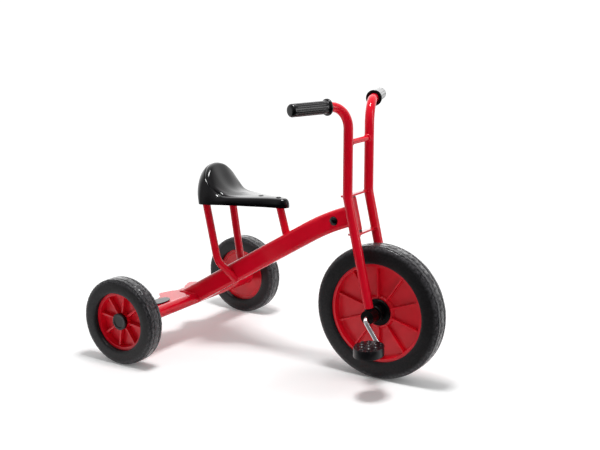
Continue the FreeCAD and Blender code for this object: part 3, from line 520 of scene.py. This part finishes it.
# Screws: radius and height of a head's outline, from its ring to its crown
SCREWS_BEHIND_TIP = (25 * MM, 73 * MM)
SCREW_OUTLINE = MM * np.array([(6.2, 0), (6, 1.2), (5, 1.6), (4.2, 0.9), (3.6, 1.7), (2, 2.2)])
SCREW_HEIGHT = 2.3 * MM
SCREW_SUNK = 0.9 * MM


def saddle_rows(heel, base):
    """Rows of guide points over the saddle, from its foot over the ridge to the flat seat.

    On the wall a point is foot + (ridge - foot) * inward, at the height
    base + (ridge - base) * upward, moved back by behind * belly. The three shares are
    back * tall + (1 - back) * low, of the back's wall and the edge's. From the ridge inward a
    point is ridge + (rim - ridge) * inward, at the height seat + (ridge - seat) * above. The
    left half is mirrored to the right.
    """
    unit = np.array([SADDLE_LENGTH, SADDLE_HALF_WIDTH, SADDLE_RISE])
    table = np.array(SADDLE_SHARES)
    flat = np.zeros(len(table))
    start = np.array([heel, 0, base])
    foot = start + np.column_stack([table[:, 0:2], flat]) * unit
    ridge = start + table[:, 2:5] * unit
    seat = base + SADDLE_SEAT_RISE
    rim = start + np.column_stack([table[:, 7:9], flat]) * unit
    rim[:, 2] = seat
    belly, back = table[:, 5], table[:, 6]
    rows = []
    for tall, low in zip(BACK_WALL_SHARES, EDGE_WALL_SHARES):
        inward, upward, behind = [back * a + (1 - back) * b for a, b in zip(tall, low)]
        row = foot + (ridge - foot) * inward[:, None]
        row[:, 2] = base + (ridge[:, 2] - base) * upward
        row[:, 0] -= behind * belly * SADDLE_BELLY
        rows.append(row)
    for inward, above in FACE_SHARES:
        row = ridge + (rim - ridge) * inward
        row[:, 2] = seat + (ridge[:, 2] - seat) * above
        rows.append(row)
    rows = np.array(rows)
    mirrored = rows[:, -2:0:-1] * [1, -1, 1]
    return np.concatenate([rows, mirrored], axis=1)


def inset_rows(rows, inset):
    """The guide points moved inward through the wall; foot and seat stay level.

    A point moves by the inset along its normal: the cross product of the way round and the
    way from row to row.
    """
    onward = np.roll(rows, -1, axis=1) - np.roll(rows, 1, axis=1)
    levels = np.arange(len(rows))
    inward = rows[np.minimum(levels + 1, levels[-1])] - rows[np.maximum(levels - 1, 0)]
    inward[0] = [0, 0, 1]
    normal = np.cross(onward, inward)
    normal[-2:, :, :2] = 0
    normal /= np.linalg.norm(normal, axis=-1)[..., None]
    return rows + normal * inset


def smooth_rows(rows, levels, steps):
    """A cubic skin close to the guide points: poles pushed out by a sixth of their bend.

    The bend of a point is twice the point, less its two neighbours, taken each way.
    """
    poles = rows + (2 * rows - np.roll(rows, 1, axis=1) - np.roll(rows, -1, axis=1)) / 6
    poles[1:-1] += (2 * rows[1:-1] - rows[:-2] - rows[2:]) / 6
    across = spline_weights(len(rows), levels, False)
    around = spline_weights(rows.shape[1], steps, True)
    return np.einsum("vj,ui,jik->vuk", across, around, poles)


def hollowed(rings):
    """The back runs softly out into the seat.

    Turn by turn, heights past HOLLOW_ROW move toward the mean of their four neighbours, by a
    weight that grows from 0 to 1/2 over HOLLOW_FADE_ROWS rows.
    """
    height = rings[HOLLOW_ROW:, :, 2]
    weight = np.clip(np.arange(1, len(height) - 1) / HOLLOW_FADE_ROWS, 0, 1)[:, None] / 2
    for _ in range(HOLLOW_TURNS):
        along = (height[:-2] + height[2:]) / 2
        around = (np.roll(height, 1, axis=1) + np.roll(height, -1, axis=1))[1:-1] / 2
        height[1:-1] += weight * ((along + around) / 2 - height[1:-1])
    return rings


def nose_share(along, tip):
    """0 at the back of the seat and 1 at the nose: 3 s^2 - 2 s^3 of the way forward."""
    share = np.clip((along - tip + NOSE_RUN) / NOSE_RUN, 0, 1)
    return share * share * (3 - 2 * share)


def nose_lifted(rings, base, tip):
    """Toward the nose the seat rises and reaches out, by NOSE_LIFT and NOSE_REACH * nose_share.

    The rise grows from nothing at the foot to all of it at the height of the seat.
    """
    share = nose_share(rings[..., 0], tip)
    rings[..., 2] += NOSE_LIFT * share * np.clip((rings[..., 2] - base) / SADDLE_SEAT_RISE, 0, 1)
    rings[..., 0] += NOSE_REACH * share
    return rings


def grooved(rings, base):
    """A groove along one row, pressed in along the normal where the back stands tall.

    Its depth is GROOVE_DEPTH * exp(-(rows from the groove's row / rows wide)^2).
    """
    onward = np.roll(rings, -1, axis=1) - np.roll(rings, 1, axis=1)
    inward = np.gradient(rings, axis=0)
    normal = np.cross(onward, inward)
    normal /= np.linalg.norm(normal, axis=-1)[..., None] + 1e-12
    across = np.exp(-((np.arange(len(rings)) - GROOVE_ROW) / GROOVE_ROWS_WIDE) ** 2)[:, None]
    tall = np.clip((rings[..., 2] - base - GROOVE_FOOT) / GROOVE_FADE, 0, 1)
    return rings + normal * (GROOVE_DEPTH * across * tall)[..., None]


def saddle():
    """Underside, inner wall, outer wall, back, hollow and seat as one run of rings.

    The seat's rings shrink toward its middle and rise by crown * (1 - shrink^2).
    """
    low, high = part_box("saddle")
    base, tip = low[2], high[0]
    rows = saddle_rows(tip - SADDLE_LENGTH, base)
    outer = grooved(smooth_rows(rows, OUTER_ROWS, AROUND_STEPS), base)
    inner = smooth_rows(inset_rows(rows, SADDLE_WALL), INNER_ROWS, AROUND_STEPS)
    middle = outer[-1].mean(axis=0)
    shrink = np.linspace(1, SEAT_MIDDLE_SHARE, SEAT_RINGS + 1)[1:, None, None]
    seat = middle + (outer[-1] - middle) * shrink
    seat[..., 2] += SEAT_CROWN * (1 - shrink[..., 0] ** 2)
    outer = hollowed(np.concatenate([outer, seat]))
    below = inner[-1].mean(axis=0)
    ceiling = below + (inner[-1] - below) * shrink[::-1]
    rings = nose_lifted(np.concatenate([ceiling, inner[::-1], outer]), base, tip)
    finish(skin("saddle_moulding", rings, "frame", ["saddle"], start=rings[0].mean(axis=0),
                end=rings[-1].mean(axis=0), sharp=50), "black_plastic")
    saddle_screws(tip, base + SADDLE_SEAT_RISE)


def saddle_screws(tip, level):
    """Two raised-head screws in shallow rings down the middle of the seat."""
    for number, behind in enumerate(SCREWS_BEHIND_TIP):
        lift = SEAT_CROWN + NOSE_LIFT * nose_share(tip - behind, tip)
        centre = np.array([tip - behind, 0, level + lift - SCREW_SUNK])
        rings = spun(SCREW_OUTLINE, centre, UP, 48)
        finish(skin("saddle_screw_%d" % (number + 1), rings, "frame", start=centre,
                    end=centre + UP * SCREW_HEIGHT), "black_plastic")


# Wheels

TYRE_POWER = 5.6
TYRE_SAMPLES = 110
TYRE_FOOT = 6 * MM
TYRE_BEVEL = 1 * MM
# Down the shoulders the tread fades until it is gone. Its grooves lie a lane apart, where the
# lane's sine is under the groove share
TREAD_FADE = 8 * MM
TREAD_END = 12 * MM
TREAD_LANE = 9 * MM
TREAD_SWAY = 0.7 * MM
TREAD_SLOW_WAVES = 17
FRONT_WAVES = 60
REAR_WAVES = 40
STEPS_PER_WAVE = 12
TREAD_GROOVE_DEPTH = 2.4 * MM
TREAD_GROOVE_SHARE = 0.5
# The ring groove on a wall: height over the rim, half width, and depth as a share of the side
WALL_GROOVE_HEIGHT = 9 * MM
WALL_GROOVE_WIDTH = 0.9 * MM
WALL_GROOVE_SHARE = 0.03
WALL_FROM_SHARE = 0.9


def tyre_section(radius, half, rim):
    """Radius and side of a tyre's section: flat rim seat, upright wall, square shoulders.

    The outside is a superellipse of power TYRE_POWER that stands on the walls TYRE_FOOT over
    the rim: side = half * sin^(2 / power), height = (radius - foot) * cos^(2 / power).
    """
    base = rim + TYRE_FOOT
    turn = np.linspace(math.pi / 2, -math.pi / 2, TYRE_SAMPLES)
    side = half * np.sign(np.sin(turn)) * np.abs(np.sin(turn)) ** (2 / TYRE_POWER)
    out = base + (radius - base) * np.abs(np.cos(turn)) ** (2 / TYRE_POWER)
    foot = half - TYRE_BEVEL
    side = np.concatenate([[0, foot - TYRE_BEVEL, foot], side, [-foot, TYRE_BEVEL - foot]])
    out = np.concatenate([[rim, rim, rim + TYRE_BEVEL], out, [rim + TYRE_BEVEL, rim]])
    return out, side


def tyre(name, centre, half_size, rim, body, waves):
    """The section carried round the axle, with wavy grooves round the tread.

    A groove is 1 - |sin(pi * (side + sway) / lane)| / groove share deep, and never under 0. Its
    sway is TREAD_SWAY * (sin(waves * turn) + sin(slow waves * turn)), and it fades on the
    shoulders. One ring groove runs round each wall, with the side drawn in by
    share * exp(-(height from the groove / width)^2). The attribute wear_and_painted_light is 1 on
    the lands of the tread and 0 in its grooves and on the walls: the lands are drawn lighter,
    partly as wear and partly as a painted sheen, and the grooves are left dark as painted shade.
    """
    radius, half = half_size[2], half_size[1]
    out, side = tyre_section(radius, half, rim)
    turn = np.linspace(0, 2 * math.pi, STEPS_PER_WAVE * waves, endpoint=False)
    tread = np.clip((out - radius + TREAD_END) / TREAD_FADE, 0, 1)[:, None]
    sway = TREAD_SWAY * (np.sin(waves * turn) + np.sin(TREAD_SLOW_WAVES * turn))
    lane = np.abs(np.sin(math.pi * (side[:, None] + sway) / TREAD_LANE))
    groove = np.clip(1 - lane / TREAD_GROOVE_SHARE, 0, 1)
    ring = np.exp(-((out - rim - WALL_GROOVE_HEIGHT) / WALL_GROOVE_WIDTH) ** 2)[:, None]
    ring = ring * (np.abs(side[:, None]) > WALL_FROM_SHARE * half)
    away = out[:, None] - TREAD_GROOVE_DEPTH * tread * groove
    level = side[:, None] * (1 - WALL_GROOVE_SHARE * ring) + 0 * turn
    rings = np.stack([centre[0] + away * np.cos(turn), centre[1] + level,
                      centre[2] + away * np.sin(turn)], axis=-1)
    # 1 on the lands: lighter, partly wear and partly painted sheen; 0 in the grooves, left dark as
    #                 painted shade
    wear_and_painted_light = np.broadcast_to(tread * (1 - groove), away.shape)
    thing = skin(name + "_moulding", rings, body, [name], wrap=True, sharp=60,
                 attributes={"wear_and_painted_light": wear_and_painted_light})
    finish(thing, "tyre_rubber")


def tyres():
    """The front tyre and the two rear ones, each on the rim of its disc."""
    rim = place_of("front_disc")[1][2]
    tyre("front_tyre", FRONT, FRONT_HALF, rim, "front_wheel", FRONT_WAVES)
    rim = place_of("rear_disc_left")[1][2]
    for side, sign in SIDES:
        centre = REAR * [1, sign, 1]
        tyre("rear_tyre_" + side, centre, REAR_HALF, rim, "rear_wheel_" + side, REAR_WAVES)


# Caps and plugs: shares are of the piece's radius
CAP_DISH = 0.8 * MM
CAP_ROUND = 2 * MM
CAP_LAND_SHARE = 0.72
CAP_DISH_SHARE = 0.66
CAP_MIDDLE_SHARE = 0.12
PLUG_FLANGE = 1 * MM
PLUG_BEVEL = 0.3 * MM
PLUG_BEVEL_SHARE = 0.96
PLUG_DOME_SHARE = 0.86


def hub_caps():
    """Push-on caps: a skirt, a rounded shoulder and a face dished by CAP_DISH."""
    for side, sign in SIDES:
        name = "hub_cap_" + side
        centre, half = place_of(name)
        radius, deep = half[0], 2 * half[1]
        outline = rounded_profile([
            (radius, 0), (radius, deep), (CAP_LAND_SHARE * radius, deep),
            (CAP_DISH_SHARE * radius, deep - CAP_DISH),
            (CAP_MIDDLE_SHARE * radius, deep - CAP_DISH)], CAP_ROUND)
        start = centre - ACROSS * sign * half[1]
        rings = spun(outline, start, ACROSS * sign)
        finish(skin(name + "_dished", rings, "rear_wheel_" + side, [name], start=start,
                    end=start + ACROSS * sign * (deep - CAP_DISH)), "black_plastic")


def beam_plugs():
    """Blanking plugs: a bevelled flange and a shallow round dome over it.

    The dome is a quarter ellipse, from dome share * radius at the flange to the middle.
    """
    for side, sign in SIDES:
        name = "beam_plug_" + side
        centre, half = place_of(name)
        radius, deep = half[0], 2 * half[1]
        start = centre - ACROSS * sign * half[1]
        turn = np.linspace(0.02, math.pi / 2, 12)[::-1]
        dome = np.column_stack([PLUG_DOME_SHARE * radius * np.sin(turn),
                                PLUG_FLANGE + (deep - PLUG_FLANGE) * np.cos(turn)])
        flange = [(radius, 0), (radius, PLUG_FLANGE - PLUG_BEVEL),
                  (PLUG_BEVEL_SHARE * radius, PLUG_FLANGE)]
        rings = spun(np.vstack([flange, dome]), start, ACROSS * sign, 64)
        finish(skin(name + "_domed", rings, "frame", [name], start=start,
                    end=start + ACROSS * sign * deep), "black_plastic")


# Grips, pedals and crank

GRIP_LENGTH = 100 * MM
GRIP_REACH = 54 * MM
GRIP_RADIUS = 14 * MM
GRIP_SWEEP = math.radians(20)
GRIP_FLANGE_RADIUS = 18 * MM
GRIP_FLANGE_THICK = 6.5 * MM
GRIP_STEP = 0.5 * MM
GRIP_ROUND = 3 * MM
GRIP_DOME = 6 * MM
GRIP_TIP = 4 * MM
GRIP_END_WALL = 8 * MM
FLUTES = 12
FLUTE_DEPTH = 0.9 * MM
FLUTE_POWER = 8
FLUTE_START = 13 * MM
FLUTE_MARGIN = 9 * MM
FLUTE_FADE = 3 * MM


def grips():
    """Slip-on grips: a round flange, a sleeve with lengthwise flutes and a domed end.

    A flute takes FLUTE_DEPTH * |cos(flutes * turn / 2)|^power off the radius, and fades in and
    out along the sleeve.
    """
    def fluted(radius, along, turn):
        run = np.minimum(along - FLUTE_START, GRIP_LENGTH - FLUTE_MARGIN - along)
        run = np.clip(run / FLUTE_FADE, 0, 1)
        return radius - FLUTE_DEPTH * run * np.abs(np.cos(FLUTES * turn / 2)) ** FLUTE_POWER

    for side, sign in SIDES:
        name = "grip_" + side
        height = place_of(name)[0][2]
        outward = np.array([-math.sin(GRIP_SWEEP), sign * math.cos(GRIP_SWEEP), 0])
        start = np.array([BRACE[0], sign * FORK_HALF_WIDTH, height]) + outward * GRIP_REACH
        sleeve = rounded_profile([
            (TUBE_RADIUS, 0), (GRIP_FLANGE_RADIUS, 0), (GRIP_FLANGE_RADIUS, GRIP_FLANGE_THICK),
            (GRIP_RADIUS, GRIP_FLANGE_THICK + GRIP_STEP),
            (GRIP_RADIUS, GRIP_LENGTH - GRIP_DOME)], GRIP_ROUND, 8)
        # More rows along the straight sleeve, for the ends of the flutes
        long = np.linspace(sleeve[-2, 1], sleeve[-1, 1], 24)[1:-1]
        sleeve = np.vstack([sleeve[:-1], np.column_stack([long * 0 + GRIP_RADIUS, long]),
                            sleeve[-1:]])
        turn = np.linspace(0, math.pi / 2, 10)[:-1]
        dome = np.column_stack([GRIP_RADIUS - GRIP_DOME + GRIP_DOME * np.cos(turn),
                                GRIP_LENGTH - GRIP_DOME + GRIP_DOME * np.sin(turn)])
        outline = np.vstack([[(TUBE_RADIUS, GRIP_LENGTH - GRIP_END_WALL)], sleeve, dome[1:],
                             [(GRIP_TIP, GRIP_LENGTH)]])
        rings = spun(outline, start, outward, 168, fluted)
        finish(skin(name + "_sleeve", rings, "fork", [name],
                    start=start + outward * (GRIP_LENGTH - GRIP_END_WALL),
                    end=start + outward * GRIP_LENGTH), "black_rubber", VINYL)


PEDAL_BAND = 9.8 * MM
STUD_PITCH = 17 * MM
STUD_RADIUS = 6 * MM
STUD_HEIGHT = 2.4 * MM
STUD_ROW_SHARE = 0.866
STUD_REACH_SHARE = 0.86
PEDAL_EDGE = 1.4 * MM


def pedals():
    """Oval rubber blocks with a rounded band and small round studs on both crowns.

    On the crown the height is band + (crown - band) * (1 - share^2), where share is the way
    from the middle to the edge, and a stud adds height * (1 - (distance / radius)^2). The
    studs stand in rows a row share of their pitch apart, every other row half a pitch along.
    """
    share = np.concatenate([np.linspace(0.02, 0.94, 56), [0.96, 0.985]])[:, None]
    turn = np.linspace(0, 2 * math.pi, 180, endpoint=False)[None]
    for side, _ in SIDES:
        name = "pedal_" + side
        centre, half = place_of(name)
        wide, long, tall = half - [0, 0, STUD_HEIGHT]
        x, y = share * wide * np.cos(turn), share * long * np.sin(turn)
        row = np.round(y / STUD_PITCH / STUD_ROW_SHARE)
        off = x / STUD_PITCH - 0.5 * (row % 2)
        near = np.hypot((off - np.round(off)) * STUD_PITCH,
                        y - row * STUD_PITCH * STUD_ROW_SHARE)
        stud = np.clip(1 - (near / STUD_RADIUS) ** 2, 0, 1) * (share < STUD_REACH_SHARE)
        crown = PEDAL_BAND + (tall - PEDAL_BAND) * (1 - share ** 2) + STUD_HEIGHT * stud
        face = np.stack([x, y, crown], axis=-1)
        edge = np.array([(1, PEDAL_BAND - PEDAL_EDGE), (1, 0), (1, PEDAL_EDGE - PEDAL_BAND)])
        band = np.stack([edge[:, :1] * wide * np.cos(turn), edge[:, :1] * long * np.sin(turn),
                         edge[:, 1:] + 0 * turn], axis=-1)
        rings = np.concatenate([face, band, face[::-1] * [1, 1, -1]]) + centre
        finish(skin(name + "_block", rings, side + "_pedal", [name], start=rings[0].mean(axis=0),
                    end=rings[-1].mean(axis=0), sharp=50), "black_rubber")


def bent_path(points, radii, steps=10):
    """Straight runs through the points, joined by tangent arcs.

    An arc runs from the corner's one edge to the other about the centre that lies radius /
    sin(half the corner's angle) away on its bisector.
    """
    points = np.asarray(points, dtype=float)
    out = [points[:1]]
    for before, corner, after, radius in zip(points[:-2], points[1:-1], points[2:], radii):
        back = (before - corner) / np.linalg.norm(before - corner)
        ahead = (after - corner) / np.linalg.norm(after - corner)
        half = math.acos(np.clip(back @ ahead, -1, 1)) / 2
        middle = (back + ahead) / np.linalg.norm(back + ahead)
        sideways = (ahead - back) / np.linalg.norm(ahead - back)
        centre = corner + middle * radius / math.sin(half)
        swing = np.linspace(half - math.pi / 2, math.pi / 2 - half, steps)[:, None]
        out.append(centre + radius * (np.sin(swing) * sideways - np.cos(swing) * middle))
    out.append(points[-1:])
    return np.vstack(out)


def crank():
    """One bent chromed bar, from pedal pin to pedal pin, with softly turned ends.

    The throw is the way from the axle to a pin in the wheel's plane, and the splay how much
    farther out an arm ends than it starts.
    """
    low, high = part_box("crank")
    radius, throw, angle = 5.4 * MM, 62 * MM, math.radians(38.5)
    plane, splay, pin_bend, axle_bend = 72 * MM, 5 * MM, 7 * MM, 13 * MM
    arm = throw * np.array([math.sin(angle), 0, -math.cos(angle)])
    right = FRONT + arm - ACROSS * (plane + splay)
    left = FRONT - arm + ACROSS * (plane + splay)
    path = bent_path([right * [1, 0, 1] + ACROSS * low[1], right, FRONT - ACROSS * plane,
                      FRONT + ACROSS * plane, left, left * [1, 0, 1] + ACROSS * high[1]],
                     (pin_bend, axle_bend, axle_bend, pin_bend))
    ahead = np.gradient(path, axis=0)
    ahead /= np.linalg.norm(ahead, axis=1)[:, None]
    # The bar bends in one plane, so its rings share the normal of that plane
    normal = np.cross(arm, ACROSS)
    normal /= np.linalg.norm(normal)
    out = np.cross(ahead, normal)
    turn = np.linspace(0, 2 * math.pi, 40, endpoint=False)
    rings = path[:, None] + radius * (np.cos(turn)[:, None] * normal
                                      + np.sin(turn)[:, None] * out[:, None])
    finish(skin("crank_bar", rings, "front_wheel", ["crank"], start=path[0], end=path[-1],
                sharp=60), "chrome")


# Welds

BRACE_WELD = 2.8 * MM
TUBE_WELD = 1.5 * MM
FOOT_WELD = 2.2 * MM
FOOT_WELD_REACH = 8 * MM
PLATE_WELD = 1.3 * MM
PLATE_WELD_LIFT = 2.4 * MM
PLATE_WELD_HALF_ARC = math.radians(75)
# The arc's middle lies this many radians behind the tube's innermost line
PLATE_WELD_TILT = 0.35


def welds():
    """Beads where tube meets tube, each laid on the curve in which the two surfaces cut."""
    turn = np.linspace(0, 2 * math.pi, 90, endpoint=False)
    circle = np.stack([np.cos(turn), 0 * turn, np.sin(turn)], axis=-1)
    for side, sign in SIDES:
        # Brace on the bars: y = half width - sqrt(tube^2 - (brace * cos)^2)
        ring = BRACE + BRACE_HALF[2] * circle
        ring[:, 1] = sign * (FORK_HALF_WIDTH - np.sqrt(
            TUBE_RADIUS ** 2 - (BRACE_HALF[2] * np.cos(turn)) ** 2))
        bead("brace_weld_" + side, ring, "fork", BRACE_WELD)
        # Cross tube and axle tube in the brackets
        for name, tube, half in (("cross_tube_weld_", CROSS_TUBE, CROSS_HALF),
                                 ("axle_tube_weld_", AXLE_TUBE, AXLE_TUBE_HALF)):
            ring = tube + half[2] * circle
            ring[:, 1] = sign * CROSS_HALF[1]
            bead(name + side, ring, "frame", TUBE_WELD)
        # Beam on the step plate: a run along each side of the beam's foot
        run = np.linspace(BEAM_FOOT_BACK, CROSS_TUBE[0] + FOOT_WELD_REACH, 60)
        line = np.column_stack([run, 0 * run + sign * BEAM_HALF_WIDTH, 0 * run + PLATE_TOP])
        bead("beam_foot_weld_" + side, line, "frame", FOOT_WELD, closed=False)
        # Ends of the steering plates, over and under the plate on the tube's inner side
        arc = np.linspace(-PLATE_WELD_HALF_ARC, PLATE_WELD_HALF_ARC, 40) - PLATE_WELD_TILT
        for level in ("upper", "lower"):
            plate = place_of("steering_plate_" + level)[0]
            up = np.dot(plate - FRONT, FORK_UP)
            axis = FRONT + FORK_UP * up + ACROSS * sign * FORK_HALF_WIDTH
            inner = (axis + TUBE_RADIUS * (np.sin(arc)[:, None] * FORK_AHEAD
                                           - sign * np.cos(arc)[:, None] * ACROSS))
            lift = FORK_UP * PLATE_WELD_LIFT
            ring = np.concatenate([inner + lift, inner[::-1] - lift])
            bead("plate_weld_%s_%s" % (level, side), ring, "fork", PLATE_WELD)


# The room

FLOOR_REACH = 40.0
# The overhead softbox, and its share of the floor's white under it
KEY_PLACE = (0.15, -0.2, 2.0)
KEY_SIZE = 0.45
KEY_SHARE = 0.64
PAPER_GLOW = 0.05
# Which way the backdrop lies, and how far along it the mirrored paper begins and is full
BACKDROP_WAY = (-0.54, 0.84, 0.0)
PAPER_FROM = -0.45
PAPER_FULL = -0.12
STRIP_PLACE = (2.2, 0.5, 1.0)
STRIP_AIM = (0.2, 0, 0.35)
STRIP_POWER = 9
STRIP_SIZE = (0.4, 1.6)
# Strengths of the room: from which share of the way to the backdrop to which they change, and
# from which value to which. Walls and backdrop meet mirrored rays, and the last all others.
WALLS = (-0.95, -0.6, 0.03, 0.4)
BACKDROP = (0.0, 0.95, 1.0, 5.4)
SOFT_LIGHT = (-0.3, 0.5, 0.33, 0.54)


def mirrored_rays(tree):
    """The outputs of Light Path, and 1 for rays that a mirror or glass sends on."""
    path = add(tree, "ShaderNodeLightPath").outputs
    mirrored = add(tree, "ShaderNodeMath", {
        0: path["Is Glossy Ray"], 1: path["Is Transmission Ray"]}, operation="MAXIMUM").outputs[0]
    return path, mirrored


def floor():
    """A wide white floor that runs out to the backdrop and keeps the shadow.

    Its light from the key falls off as (h^2 / (h^2 + d^2))^2, with h the key's height and d
    the way from under it; what is missing, and a little more, is given to rays from the
    camera and from mirror-like surfaces, so that the paper stays white up to the shadow.
    Mirrored rays find the paper's end in front of the object, and a dark studio beyond it.
    """
    mesh = bpy.data.meshes.new("studio_floor")
    reach = FLOOR_REACH
    corners = [(-reach, -reach, 0), (reach, -reach, 0), (reach, reach, 0), (-reach, reach, 0)]
    mesh.from_pydata(corners, [], [(0, 1, 2, 3)])
    thing = bpy.data.objects.new("studio_floor", mesh)
    bpy.context.scene.collection.objects.link(thing)
    # White studio paper: no gloss, so only the shadow shows on it
    made, tree, shader, places = surface("white_paper", Roughness=1.0)
    shader.inputs["Specular IOR Level"].default_value = 0.0
    shader.inputs["Emission Color"].default_value = linear("#FFFFFF")
    path, mirrored = mirrored_rays(tree)
    ahead = add(tree, "ShaderNodeVectorMath", {0: places, 1: BACKDROP_WAY},
                operation="DOT_PRODUCT").outputs["Value"]
    paper = add(tree, "ShaderNodeMapRange", {"Value": ahead, "From Min": PAPER_FROM,
                                             "From Max": PAPER_FULL}).outputs["Result"]
    seen = add(tree, "ShaderNodeMix", {"Factor": path["Is Glossy Ray"], "A": 1.0,
                                       "B": paper}).outputs["Result"]
    tone = add(tree, "ShaderNodeValToRGB", {"Fac": seen}, ((0, "#1A1A1A"), (1, "#FFFFFF")))
    tree.links.new(tone.outputs["Color"], shader.inputs["Base Color"])
    # Share of the key's light: (1 + (d / h)^2)^-2
    away = add(tree, "ShaderNodeVectorMath", {0: places, 1: (KEY_PLACE[0], KEY_PLACE[1], 0)},
               operation="DISTANCE").outputs["Value"]
    share = add(tree, "ShaderNodeMath", {0: away, 1: KEY_PLACE[2]}, operation="DIVIDE").outputs[0]
    share = add(tree, "ShaderNodeMath", {0: share, 1: share, 2: 1.0}, operation="MULTIPLY_ADD")
    share = add(tree, "ShaderNodeMath", {0: share.outputs[0], 1: -2.0}, operation="POWER")
    missing = add(tree, "ShaderNodeMapRange", {"Value": share.outputs[0],
                                               "To Min": KEY_SHARE + PAPER_GLOW,
                                               "To Max": PAPER_GLOW}).outputs["Result"]
    backdrop = add(tree, "ShaderNodeMath", {0: path["Is Camera Ray"], 1: mirrored},
                   operation="MAXIMUM").outputs[0]
    given = add(tree, "ShaderNodeMath", {0: missing, 1: backdrop}, operation="MULTIPLY")
    given = add(tree, "ShaderNodeMath", {0: given.outputs[0], 1: seen}, operation="MULTIPLY")
    tree.links.new(given.outputs[0], shader.inputs["Emission Strength"])
    mesh.materials.append(made)


def room_light():
    """Even light from all round for matt surfaces, and a white room for mirrored rays.

    Mirrored rays find walls * backdrop: bright ahead, darker beside it, and a dim opening where
    the photographer stands. behind is 1 toward the backdrop and -1 away from it. Rays from the
    camera find plain white.
    """
    world = bpy.data.worlds.new("studio")
    bpy.context.scene.world = world
    world.use_nodes = True
    tree = world.node_tree
    tree.nodes.clear()
    way = add(tree, "ShaderNodeTexCoord").outputs["Generated"]
    behind = add(tree, "ShaderNodeVectorMath", {0: way, 1: BACKDROP_WAY},
                 operation="DOT_PRODUCT").outputs["Value"]
    walls, bright, soft = (
        add(tree, "ShaderNodeMapRange", {"Value": behind, "From Min": first, "From Max": last,
                                         "To Min": low, "To Max": high}).outputs["Result"]
        for first, last, low, high in (WALLS, BACKDROP, SOFT_LIGHT))
    room = add(tree, "ShaderNodeMath", {0: walls, 1: bright}, operation="MULTIPLY").outputs[0]
    path, mirrored = mirrored_rays(tree)
    light = add(tree, "ShaderNodeMix", {"Factor": mirrored, "A": soft, "B": room}).outputs["Result"]
    light = add(tree, "ShaderNodeMix", {"Factor": path["Is Camera Ray"], "A": light, "B": 1.0})
    sky = add(tree, "ShaderNodeBackground", {"Color": (1, 1, 1, 1),
                                             "Strength": light.outputs["Result"]})
    add(tree, "ShaderNodeOutputWorld", {"Surface": sky.outputs["Background"]})


def lamp(name, kind, place, aim, energy, **settings):
    """A lamp at its place, turned to its aim."""
    data = bpy.data.lights.new(name, kind)
    data.energy = energy
    for label, value in settings.items():
        setattr(data, label, value)
    thing = bpy.data.objects.new(name, data)
    bpy.context.scene.collection.objects.link(thing)
    thing.location = place
    thing.rotation_euler = (Vector(aim) - Vector(place)).to_track_quat("-Z", "Y").to_euler()


def lamps():
    """A softbox overhead and an upright strip to the side.

    White paper h under a softbox of energy E shows a light of E / (pi * h)^2, so the softbox
    has KEY_SHARE * (pi * h)^2.
    """
    energy = KEY_SHARE * (math.pi * KEY_PLACE[2]) ** 2
    lamp("overhead", "AREA", KEY_PLACE, (KEY_PLACE[0], KEY_PLACE[1], 0), energy, shape="SQUARE",
         size=KEY_SIZE)
    lamp("side_strip", "AREA", STRIP_PLACE, STRIP_AIM, STRIP_POWER, shape="RECTANGLE",
         size=STRIP_SIZE[0], size_y=STRIP_SIZE[1])


CAMERA_PLACE = (1.343, -2.0468, 0.8818)
CAMERA_YAW = 32.62
CAMERA_PITCH = 13.09
CAMERA_LENS = 66.45
CAMERA_SENSOR = 36.0


def camera():
    """The camera of the photograph, fitted to the wheels and the grips."""
    data = bpy.data.cameras.new("photo_view")
    data.lens = CAMERA_LENS
    data.sensor_width = CAMERA_SENSOR
    thing = bpy.data.objects.new("photo_view", data)
    bpy.context.scene.collection.objects.link(thing)
    thing.location = CAMERA_PLACE
    thing.rotation_euler = (math.radians(90 - CAMERA_PITCH), 0, math.radians(CAMERA_YAW))
    bpy.context.scene.camera = thing


finish_frame()
saddle()
tyres()
hub_caps()
beam_plugs()
grips()
pedals()
crank()
welds()
floor()
room_light()
lamps()
camera()
bpy.context.scene.view_settings.view_transform = "Standard"
